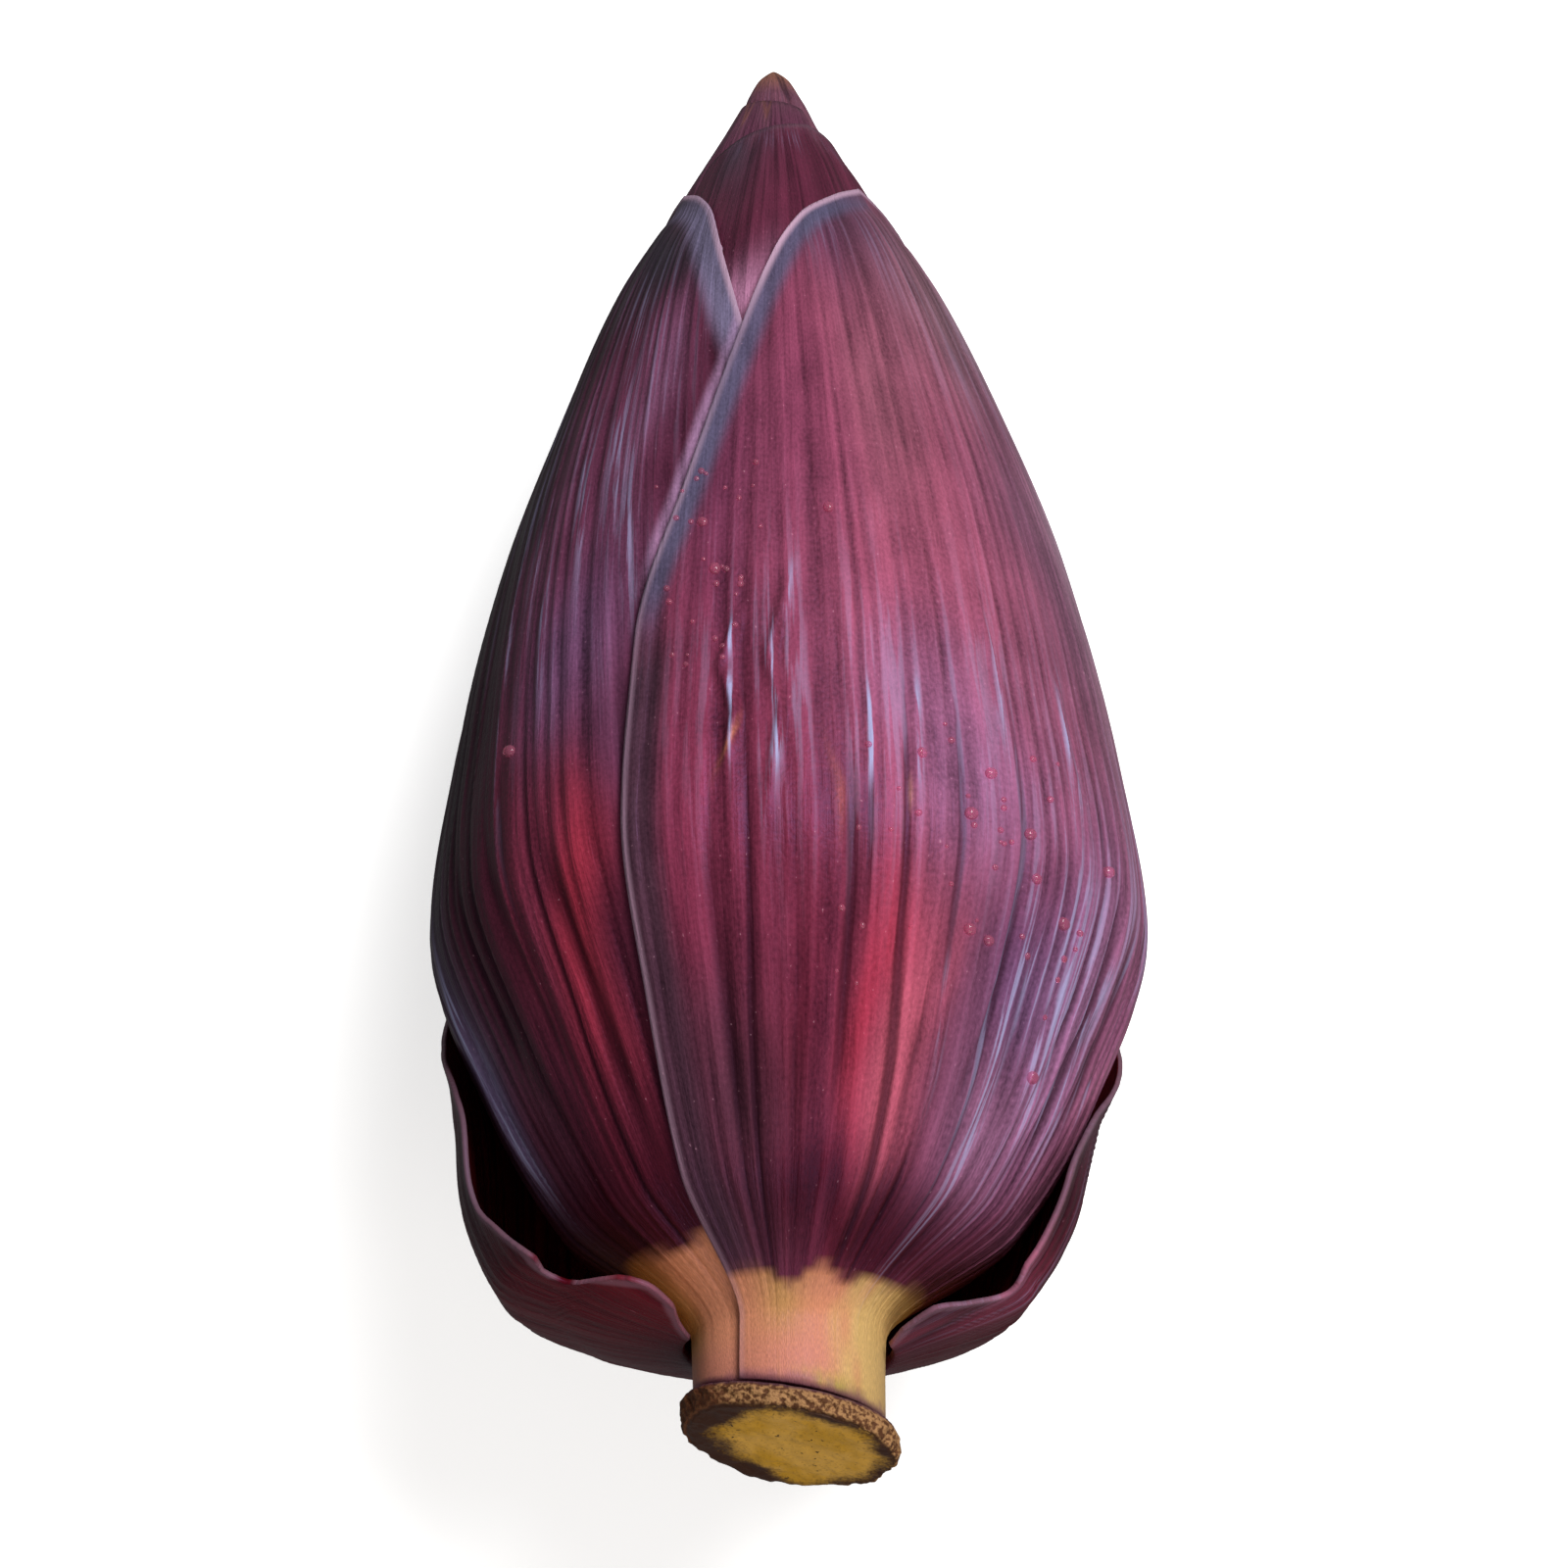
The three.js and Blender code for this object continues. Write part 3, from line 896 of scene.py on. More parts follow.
@dataclass(frozen=True)
class Stroke:
    """A single fold or groove drawn along a line of azimuths and heights."""

    line: tuple[tuple[float, float], ...]
    width: float
    lift: float
    fade: float = 0.35  # share of the line over which each end fades out

    def relief(self, azimuth: Array, height: Array, radius: Array) -> Array:
        """Works out the fold.

        Args:
            azimuth: Degrees round the bud.
            height: Millimetres up its axis.
            radius: Radius of the skin there.

        Returns:
            Its height over the skin, in millimetres, negative for a groove.
        """
        azimuths, heights = zip(*self.line)
        scale = np.radians(np.maximum(radius, 5))
        nearest = distance_squared((azimuths, heights), azimuth, height, scale)
        low, high = min(heights), max(heights)
        run = self.fade * (high - low)
        ends = smooth_step(height, low, low + run) * (1 - smooth_step(height, high - run, high))
        return self.lift * np.exp(-nearest / self.width**2) * ends


@dataclass(frozen=True)
class Folds:
    """Natural relief of a bract: broad waves, sharp folds and fine ribs, all running lengthwise."""

    seed: int
    waves: float = 0.45
    creases: float = 0.45
    ribs: float = 0.13
    sway: float = 0.0
    strokes: tuple[Stroke, ...] = ()
    # Spacings are degrees round the bud, and so is the drift of the lines
    wave_gap: float = 11.0
    crease_gap: float = 5.2
    small_crease_gap: float = 3.1
    rib_gap: float = 1.35
    small_rib_gap: float = 0.9
    drift: float = 1.6

    def around(self, azimuth: Array, height: Array) -> Array:
        """Azimuth counted along the slanting veins."""
        return azimuth - self.sway * (height - BELLY)

    @staticmethod
    def grooves(noise: SmoothNoise, x: Array, y: Array, width: float) -> Array:
        """Lines of one width where the noise crosses zero.

        Args:
            noise: The noise.
            x: Coordinate across the lines.
            y: Coordinate along them.
            width: Half width of a line, in cells of x.

        Returns:
            1 on a line, falling to 0 beside it.
        """
        step = 0.08
        value = noise(x, y)
        slope = np.abs(noise(x + step, y) - noise(x - step, y)) / (2 * step)
        away = np.abs(value) / np.maximum(slope, 0.35)
        return np.exp(-((away / width) ** 2))

    def relief(self, azimuth: Array, height: Array, radius: Array) -> tuple[Array, Array, Array]:
        """Works out the relief.

        Args:
            azimuth: Degrees round the bud.
            height: Millimetres up its axis.
            radius: Radius of the skin there.

        Returns:
            The relief in millimetres, how deep in a fold each point is, and its height on a rib,
            from -1 to 1.
        """
        wave, crease, rib, drift, strong = (SmoothNoise(self.seed + k) for k in range(5))
        around = self.around(azimuth, height) + self.drift * drift(azimuth / 18, height / 40)
        swell = wave(around / self.wave_gap, height / 90)
        # Creases come and go along their length, and fade towards the tip
        gap, small = self.crease_gap, self.small_crease_gap
        first = self.grooves(crease, around / gap + 40, height / 420, 0.75 / gap)
        first = first * (0.5 + 0.5 * strong(around / 7, height / 45))
        second = self.grooves(crease, around / small + 90, height / 300 + 30, 0.5 / small)
        second = second * (0.5 + 0.5 * strong(around / 4 + 60, height / 38))
        fine = rib(around / self.rib_gap, height / 110)
        fine = fine + 0.35 * rib(around / self.small_rib_gap + 70, height / 60)
        lower = 0.3 + 0.7 * (1 - smooth_step(height, 70, 150))
        narrow = np.clip(radius / 50, 0.25, 1)
        groove = first + 0.5 * second
        relief = self.waves * swell * narrow - self.creases * groove * lower * narrow
        relief = relief + self.ribs * fine * narrow
        strokes = (stroke.relief(azimuth, height, radius) for stroke in self.strokes)
        drawn = sum(strokes, np.zeros_like(relief))
        depth = 0.25 + 0.2 * swell - 1.3 * groove * lower + 0.8 * drawn
        crest = np.sign(fine) * np.abs(fine) ** 0.7
        return relief + drawn, np.clip(depth, -1, 1), np.clip(crest, -1, 1)


@dataclass(frozen=True)
class NeckTones:
    """Colours of the smooth neck where the bracts grow out of the stalk."""

    peach: str = "#c88464"
    yellow: str = "#c8a468"
    olive: str = "#b08a4c"
    pink: str = "#c9806c"
    smear: str = "#a89a38"
    line: str = "#7c4a62"


NECK = NeckTones()


@dataclass
class Bract:
    """One bract: a thin curved leaf on the bud, with folds, a thin margin and a coloured skin."""

    name: str
    slot: str
    outline: Outline
    folds: Folds
    ground: str
    form: BudForm = BUD
    tints: tuple[Patch, ...] = ()
    blooms: tuple[Patch, ...] = ()
    over: tuple[Outline, ...] = ()
    bands: tuple[MarginBand, ...] = ()
    seam_highlight_bands: tuple[MarginBand, ...] = ()
    pale_rims: tuple[Patch, ...] = ()
    neck_height: float = 0.0
    lining_foot: float = 20.0
    columns: int = 72
    rows: int = 42
    cuts: int = 3
    thickness: float = 1.5
    margin_thickness: float = 0.8
    rim_lift: float = 0.35
    dip: float = 9.0

    def depth(self, place: Array, azimuth: Array) -> Array:
        """How far the bracts that lie over this one press it in."""
        depth = np.zeros_like(place)
        for outline in self.over:
            inside = outline.depth_inside(self.form, place, azimuth)
            depth += self.form.layer_pitch * smooth_step(inside, -self.dip, 8)
        return depth

    def rim(self, edge: Array, height: Array) -> Array:
        """Height of the rolled margin and, negative, of the dip beside it, by distance from the edge."""
        sharp = 0.1 + 0.9 * smooth_step(height, 110, 200)
        roll = self.rim_lift * sharp * (bump_at(edge, 0, 1.3) - 0.8 * bump_at(edge, 4, 1.8))
        return roll * smooth_step(height, 12, 40)

    def off_floor(self, place: Array, azimuth: Array) -> Array:
        """1 where the skin is free, falling to 0 where the bud's own weight flattens it."""
        height = self.form.height(place)
        z = self.form.flattening * self.form.skin_radius(place) * np.cos(np.radians(azimuth))
        return smooth_step(z - self.form.rest_plane(height) - self.form.clearance(), 0, 5)

    def colours(self, place: Array, azimuth: Array, edge: Array, across: Array) -> Array:
        """Ground colour with the soft tints and the bands painted over it.

        Args:
            place: Places of the corners along the meridian.
            azimuth: Their azimuths.
            edge: Their distances from the margin.
            across: Where they are across the bract, from -1 to 1.

        Returns:
            Linear RGB, one row for each corner.
        """
        height = self.form.height(place)
        colour = np.tile(linear(self.ground)[:3], (len(azimuth), 1))
        wander = SmoothNoise(self.folds.seed + 9)
        az = azimuth + 5 * wander(azimuth / 14, height / 22)
        rise = height + 6 * wander(azimuth / 9 + 50, height / 30)
        for tint in self.tints:
            colour = paint(colour, tint.colour, tint.weight(az, rise))
        for band in self.bands:
            colour = paint(colour, band.colour, band.weight(edge, height, across))
        # Painted highlight: a lavender band on this bract just beside the front bract's margin
        for band in self.seam_highlight_bands:
            beyond = FRONT.depth_inside(self.form, place, azimuth)
            colour = paint(colour, band.colour, band.weight(beyond, height, across))
        return colour

    def neck(self, azimuth: Array, height: Array) -> Array:
        """1 on the pale neck, 0 on the purple skin above it."""
        if not self.neck_height:
            return np.zeros_like(height)
        ragged = SmoothNoise(self.folds.seed + 11)
        border = self.neck_height + 1.3 * ragged(azimuth / 14, 0)
        return 1 - smooth_step(height, border - 0.7, border + 0.7)

    def paint_neck(self, colour: Array, neck: Array, azimuth: Array, height: Array) -> Array:
        """Paints the peach and yellow neck.

        Args:
            colour: Colours so far.
            neck: How much each corner belongs to the neck.
            azimuth: Azimuths of the corners.
            height: Heights of the corners.

        Returns:
            The new colours.
        """
        blotch = SmoothNoise(self.folds.seed + 12)
        tone = paint(np.zeros_like(colour), NECK.peach, np.ones_like(neck))
        uneven = azimuth + 12 * blotch(azimuth / 9, height / 7)
        low = 1 - smooth_step(height, 6, 14)
        smear = bump_at(azimuth + 8 * blotch(azimuth / 3, 8), 30, 18)
        foot = height + 0.5 * blotch(azimuth / 5, 3)
        for hex_colour, share in (
            (NECK.yellow, smooth_step(uneven, 22, 52)),
            (NECK.olive, 0.7 * bump_at(azimuth, -4, 12) * smooth_step(height, 8, 18)),
            (NECK.olive, 0.6 * (1 - smooth_step(azimuth, -72, -52))),
            (NECK.pink, 0.7 * low * (1 - smooth_step(azimuth, 0, 45))),
            (NECK.smear, 0.8 * smear * bump_at(height, 5.6 - azimuth / 30, 1.6)),
            (NECK.line, 0.8 * (1 - smooth_step(foot, 3.6, 5.4))),
        ):
            tone = paint(tone, hex_colour, share)
        neck = neck[:, None]
        return colour * (1 - neck) + tone * neck

    def build(self, skin: Finish, lining: Finish) -> Piece:
        """Makes the bract.

        Args:
            skin: Material of its outside.
            lining: Material of its inside.

        Returns:
            The finished piece.
        """
        piece, u, v = unit_grid(self.name, self.columns, self.rows, self.cuts)
        place, azimuth = self.outline.spread(u, v)
        height, radius = self.form.height(place), self.form.skin_radius(place)
        edge = np.maximum(self.outline.depth_inside(self.form, place, azimuth), 0)
        relief, fold, rib = self.folds.relief(azimuth, height, radius)
        calm = smooth_step(edge, 0.5, 6) * smooth_step(height, 7, 30)
        lift = relief * (0.15 + 0.85 * calm) + self.rim(edge, height)
        depth = self.depth(place, azimuth) - lift * self.off_floor(place, azimuth)
        points = BUD.to_row(self.form.skin(place, azimuth, depth))
        lay(piece, points, BUD.to_row(self.form.skin(place, azimuth, depth - 1)) - points)
        neck = self.neck(azimuth, height)
        tone = self.colours(place, azimuth, edge, 2 * u - 1)
        # Wax bloom, which is also a painted highlight, is laid where folds stand up
        bloom_and_highlight_amount = total(self.blooms, azimuth, height)
        for stroke in self.folds.strokes:
            if stroke.lift > 0:
                bloom_and_highlight_amount += 1.6 * stroke.relief(azimuth, height, radius)
        around = self.folds.around(azimuth, height)
        store(
            piece,
            vein=np.stack([around, height, np.zeros_like(height)], axis=1),
            tone=self.paint_neck(tone, neck, azimuth, height),
            fold=fold * calm,
            rib=rib * calm,
            edge=edge,
            pale_rim=np.clip(total(self.pale_rims, azimuth, height), 0, 1),
            bloom=np.clip(bloom_and_highlight_amount, 0, 1.5),
            neck=neck,
            foot=1 - smooth_step(height, self.lining_foot - 5, self.lining_foot + 5),
        )
        piece.data.materials.append(skin)
        piece.data.materials.append(lining)
        self.thicken(piece, edge)
        finish_piece(piece, self.name, self.slot)
        return piece

    def thicken(self, piece: Piece, edge: Array) -> None:
        """Gives the skin its thickness inwards, thin at the margin.

        Args:
            piece: The bract.
            edge: Distance of every corner from the margin.
        """
        steps = 16
        share = self.margin_thickness / self.thickness
        weight = share + (1 - share) * smooth_step(edge, 0, 8)
        group = piece.vertex_groups.new(name="thickness")
        level = np.round(weight * steps).astype(int)
        for step in range(steps + 1):
            corners = np.flatnonzero(level == step)
            if len(corners):
                group.add(corners.tolist(), step / steps, "REPLACE")
        apply_modifier(
            piece, "SOLIDIFY", thickness=self.thickness * MM, offset=-1.0, use_rim=True,
            vertex_group=group.name, material_offset=1, material_offset_rim=0,
        )


FRONT = Outline(
    3.6, 225.5,
    curve_through(
        (3, -31), (60, -27), (120, -26), (150, -19), (186, -9), (203, -1), (213, 9), (220, 27),
        (225.5, 50),
    ),
    curve_through(
        (3, 146), (20, 134), (60, 131), (120, 131), (165, 120), (203, 104), (213, 92), (220, 74),
        (225.5, 50),
    ),
)
LEFT = Outline(
    3.6, 227,
    curve_through(
        (3, -206), (16, -160), (60, -146), (120, -143), (165, -131), (203, -114), (216, -104),
        (222, -90), (227, -64),
    ),
    curve_through(
        (3, -4), (60, 5), (120, 8), (165, -2), (186, -10), (203, -18), (216, -28), (222, -40),
        (227, -64),
    ),
)
BACK = Outline(
    19, 234,
    *mirrored(162, (19, 86), (120, 82), (190, 70), (218, 54), (228, 38), (234, 0)),
)
INNER_FRONT = Outline(
    26, 241.5,
    *mirrored(34, (26, 86), (150, 100), (220, 98), (232, 87), (237, 66), (239.5, 39), (241.5, 0)),
    14.0,
)
INNER_LEFT = Outline(
    34, 249.5,
    curve_through((34, -184), (200, -196), (240, -196), (246, -170), (249.5, -94)),
    curve_through((34, -4), (200, 24), (240, 44), (246, 40), (249.5, -94)),
    9.0,
)
REAR = Outline(
    0, 217,
    curve_through(
        (0, 72), (4, 63), (10, 60), (15, 70), (21, 77), (30, 74), (45, 74), (56, 82), (64, 92),
        (78, 108), (93, 118), (125, 128), (190, 156), (208, 174), (217, 195),
    ),
    curve_through(
        (0, 292), (3, 301), (9, 314), (14, 316), (18, 312), (22, 295), (25, 295), (28, 299), (34, 293),
        (42, 285), (56, 283), (66, 276), (78, 262), (93, 249), (125, 243), (190, 232), (208, 216),
        (217, 195),
    ),
)


@dataclass
class Blossom:
    """All the bracts, from the outermost to the innermost."""

    def rear(self) -> Bract:
        """The outermost bract: a wide cup behind and below the neck, open at its shoulders."""
        return Bract(
            "rear_bract", "outer_bract", REAR, Folds(11, 0.5, 0.6, 0.24), "#4a0a14", form=CUP,
            rim_lift=0.6, lining_foot=19.0,
            tints=painted(
                (302, 21, 24, 11, "#680a16"), (286, 40, 16, 20, "#280a12"), (66, 20, 26, 10, "#96405a"),
                (72, 15, 30, 3, "#4a1a26"), (80, 50, 18, 20, "#46202c"), (180, 120, 80, 60, "#5c2438"),
            ),
            blooms=dusted((72, 22, 16, 8, 0.6), (80, 90, 20, 50, 0.35)),
            pale_rims=dusted((180, 40, 400, 400, 0.22)),
        )

    def front(self) -> Bract:
        """The large bract over the front and right of the bud."""
        strokes = (
            Stroke(((9, 104), (10, 74), (9, 48), (7, 23)), 1.3, -1.3),
            Stroke(((-12, 100), (-13, 70), (-12, 40), (-10, 22)), 1.7, -0.9),
            Stroke(((-11, 88), (-8, 102), (-11, 111), (-6, 126)), 0.8, 1.3),
            Stroke(((-4, 80), (-1, 102), (-3, 112), (2, 134)), 0.8, 1.4),
            Stroke(((26, 26), (29, 46), (28, 66)), 0.9, 0.7),
            Stroke(((20, 88), (20, 98), (21, 112)), 0.7, 0.8),
            Stroke(((12, 86), (13, 98), (12, 112)), 0.7, 0.7),
            Stroke(((36, 96), (37, 112), (35, 132)), 0.6, 0.7),
            Stroke(((54, 90), (52, 105), (53, 122)), 0.7, 0.55),
            Stroke(((66, 92), (68, 60), (63, 30)), 2.0, -1.2),
            Stroke(((75, 88), (77, 60), (72, 32)), 2.0, -1.0),
            Stroke(((45, 80), (46, 50), (42, 26)), 1.5, -0.7),
            Stroke(((27, 84), (26, 60), (22, 30)), 0.8, -0.5),
            Stroke(((1, 80), (1, 56), (-1, 28)), 1.0, -0.6),
            *(
                Stroke(((at + 4, 88), (at + 5, 62), (at, 32)), 0.8, -0.75)
                for at in (35, 49, 55, 61, 69, 78)
            ),
        )
        return Bract(
            "front_bract", "outer_bract", FRONT, Folds(23, 0.45, 0.75, 0.27, 0.0, strokes), "#74304a",
            neck_height=20.5,
            tints=painted(
                # (32, 97) is a painted highlight; (22, 216) is painted shade on the tip side, turned
                # from the light
                (30, 140, 45, 70, "#924860"), (22, 168, 13, 26, "#84485a"), (32, 97, 16, 20, "#945c80"),
                (22, 216, 50, 18, "#583048"), (4, 158, 8, 50, "#7e3a54"), (60, 196, 26, 26, "#7c5a64"),
                (64, 140, 20, 50, "#70465c"), (84, 160, 12, 60, "#a890a0"),
                (105, 120, 22, 60, "#6b3046"), (-12, 150, 10, 50, "#66304a"),
                (-12, 76, 14, 50, "#782e46"), (2, 56, 8, 36, "#6c2438"), (22, 47, 7, 24, "#b8566a"),
                (14, 54, 4, 26, "#962a3e", 0.85), (-8, 40, 10, 18, "#42202a", 0.9),
                (34, 62, 9, 26, "#6c3c54"), (50, 62, 12, 20, "#664468"), (48, 42, 12, 12, "#8c5c7c"),
                (66, 62, 12, 30, "#94648a"), (84, 60, 12, 34, "#94587a"), (88, 40, 14, 16, "#a86480"),
                (20, 26, 90, 6, "#420d1a", 0.9), (30, 29, 14, 6, "#3e0c1a", 0.8),
                (-8, 95, 0.4, 4, "#c87c58", 0.7), (6, 88, 0.4, 6, "#c0685a", 0.5),
                (17, 92, 0.5, 3, "#d09080", 0.7),
            ),
            bands=(
                # The first band, blue-grey, is a painted reflection of cool light on the margin where it
                # turns away
                MarginBand(122, 222, 4.4, "#52506a", 0.9), MarginBand(20, 118, 7.0, "#42303c", 0.85),
                MarginBand(22, 60, 14.0, "#4a2c3a", 0.5),
            ),
            blooms=dusted(
                (-21, 165, 6, 45, 0.5, 0.2), (44, 52, 5, 26, 0.9), (54, 60, 7, 26, 0.8),
                (67, 62, 6, 26, 0.7), (82, 70, 10, 40, 0.6), (60, 190, 25, 30, 0.15),
                (20, 210, 30, 10, 0.15), (20, 105, 34, 26, 0.22), (-4, 112, 8, 22, 0.2),
            ),
            pale_rims=dusted(
                (0, 210, 40, 26, 1.0), (40, 226, 40, 12, 0.8), (-18, 150, 12, 26, 0.35),
                (-26, 70, 12, 70, 0.4), (110, 150, 50, 90, 0.25),
            ),
        )

    def left(self) -> Bract:
        """The large bract at the left, with its right margin under the front one."""
        strokes = (
            Stroke(((-45, 100), (-40, 75), (-36, 45), (-34, 26)), 1.8, -1.0),
            Stroke(((-58, 100), (-52, 70), (-48, 40)), 1.8, -0.9),
            Stroke(((-70, 105), (-64, 70), (-60, 40)), 1.8, -0.9),
            Stroke(((-82, 80), (-80, 50), (-76, 32)), 2.2, 0.9),
        )
        return Bract(
            "left_bract", "outer_bract", LEFT, Folds(37, 0.5, 0.8, 0.27, -0.12, strokes), "#441a2a",
            over=(FRONT,), neck_height=25.5,
            tints=painted(
                (-38, 150, 16, 50, "#66304a"), (-30, 172, 5, 26, "#7c4a68"),
                (-53, 148, 10, 34, "#6c3c56"), (-37, 116, 8, 20, "#70486a"),
                # The patches at (-82, 120) and (-66, 165) are painted shade on the side turned away from
                # the light
                (-50, 210, 34, 14, "#322a34"), (-82, 120, 22, 100, "#28121c"),
                (-66, 165, 9, 40, "#2c1620"), (-38, 72, 8, 22, "#942c3e"), (-50, 76, 7, 22, "#7a2e44"),
                (-66, 58, 9, 34, "#52202e"), (-78, 50, 9, 24, "#74668c"),
                (-40, 38, 16, 8, "#48121e", 0.8), (-40, 31, 50, 5, "#3a0e18", 0.85),
            ),
            bands=(MarginBand(178, 224, 5.5, "#77708e", 0.85, side=1),),
            # Painted highlight along the seam, under the front bract's margin
            seam_highlight_bands=(MarginBand(136, 196, 2.6, "#b890b8", 0.5, side=0),),
            blooms=dusted(
                (-33, 150, 3, 24, 0.7, -0.28), (-42, 150, 3, 24, 0.6, -0.25),
                (-52, 142, 3, 24, 0.7, -0.25), (-64, 150, 5, 40, 0.6, -0.2), (-80, 55, 5, 24, 0.9),
                (-46, 196, 14, 14, 0.25), (-30, 175, 8, 20, 0.3),
            ),
            pale_rims=dusted(
                (-20, 200, 40, 20, 0.9), (-60, 227, 40, 10, 0.6), (-140, 150, 40, 90, 0.25),
            ),
        )

    def back(self) -> Bract:
        """The bract on the back, under the two large ones."""
        return Bract(
            "back_bract", "outer_bract", BACK, Folds(41, 0.4, 0.4, 0.12), "#57293b", over=(FRONT, LEFT),
            columns=48, rows=40, cuts=2,
        )

    def inner_front(self) -> Bract:
        """The bract that shows in the notch between the two large ones."""
        return Bract(
            "inner_front_bract", "inner_bract", INNER_FRONT, Folds(53, 0.2, 0.08, 0.12), "#582236",
            over=(FRONT, LEFT, BACK), columns=64, rows=48, cuts=2, rim_lift=0.1,
            tints=painted(
                (-12, 190, 14, 10, "#b07898"), (-30, 232, 20, 14, "#4a3442"),
                (34, 240, 60, 4, "#6a3c4c"),
            ),
            blooms=dusted((0, 238, 60, 4, 0.3)),
            pale_rims=dusted((34, 240, 60, 10, 0.12)),
        )

    def inner_left(self) -> Bract:
        """The next bract in, a narrow band under the tip."""
        return Bract(
            "inner_left_bract", "inner_bract", INNER_LEFT, Folds(67, 0.15, 0.05, 0.08), "#603448",
            over=(FRONT, LEFT, BACK, INNER_FRONT), columns=64, rows=48, cuts=2, rim_lift=0.0, dip=4.0,
            tints=painted((20, 247, 60, 5, "#6c4454"), (0, 249, 300, 1.5, "#80504c")),
        )

    def bracts(self) -> list[Bract]:
        """All the bracts, in the order that they are made in."""
        return [
            self.rear(), self.front(), self.left(), self.back(), self.inner_front(), self.inner_left(),
        ]


# ---------------------------------------------------------------- tip, stalk and water


@dataclass
class BudTip:
    """The pointed heart of the bud that shows past the innermost bract."""

    foot: float = 24.0
    gap: float = 0.6  # it lies this much under the innermost bract
    crease: float = 0.5  # depth of the creases near the point
    crease_width: float = 0.12
    bluntness: float = 0.75  # how much the point is swollen
    body: str = "#784858"
    point: str = "#a06a50"
    over: tuple[Outline, ...] = (FRONT, LEFT, BACK, INNER_FRONT, INNER_LEFT)

    def build(self, skin: Finish) -> Piece:
        """Makes the tip, closed at both ends.

        Args:
            skin: Its material.

        Returns:
            The finished piece.
        """
        piece, u, v = unit_grid("bud_tip", 32, 64, 2)
        azimuth = u * 360 - 180
        turn = np.radians(azimuth)
        height = self.foot + (BUD.length - self.foot) * np.sin(v * np.pi / 2) ** 0.8
        depth = self.gap * (1 - smooth_step(height, 244, 252))
        for outline in self.over:
            depth += BUD.layer_pitch * smooth_step(outline.depth_inside(BUD, height, azimuth), -3, 6)
        near = smooth_step(height, 236, 246)
        narrow = np.clip(BUD.radius(height) / 12, 0, 1)
        wave = SmoothNoise(71)(np.cos(turn) * 2 + 20, height / 30 + np.sin(turn))
        creased = near * bump_at(wave, 0, self.crease_width)
        rounded = np.sqrt(np.clip((BUD.length - height) / 3.2, 0, 1))
        depth += self.crease * narrow * creased
        depth -= self.bluntness * smooth_step(height, 251, 256) * rounded
        centre = BUD.to_row(np.array([[0.0, self.foot, 0.0]]))
        points = np.where(v[:, None] < 1e-6, centre, BUD.to_row(BUD.skin(height, azimuth, depth)))
        lay(piece, points, BUD.to_row(BUD.skin(height, azimuth, depth - 1)) - points)
        none, full = np.zeros_like(height), np.ones_like(height)
        tone = paint(np.zeros((len(height), 3)), self.body, full)
        store(
            piece,
            vein=np.stack([azimuth, height, none], axis=1),
            tone=paint(tone, self.point, smooth_step(height, 250, 257)),
            fold=0.1 - 0.8 * creased,
            rib=none,
            edge=10 * full,
            pale_rim=none,
            bloom=0.25 * near,
            neck=none,
        )
        piece.data.materials.append(skin)
        edit_all(piece, bpy.ops.mesh.remove_doubles, threshold=SEAM_GAP)
        finish_piece(piece, "bud_tip", "bud_tip")
        return piece


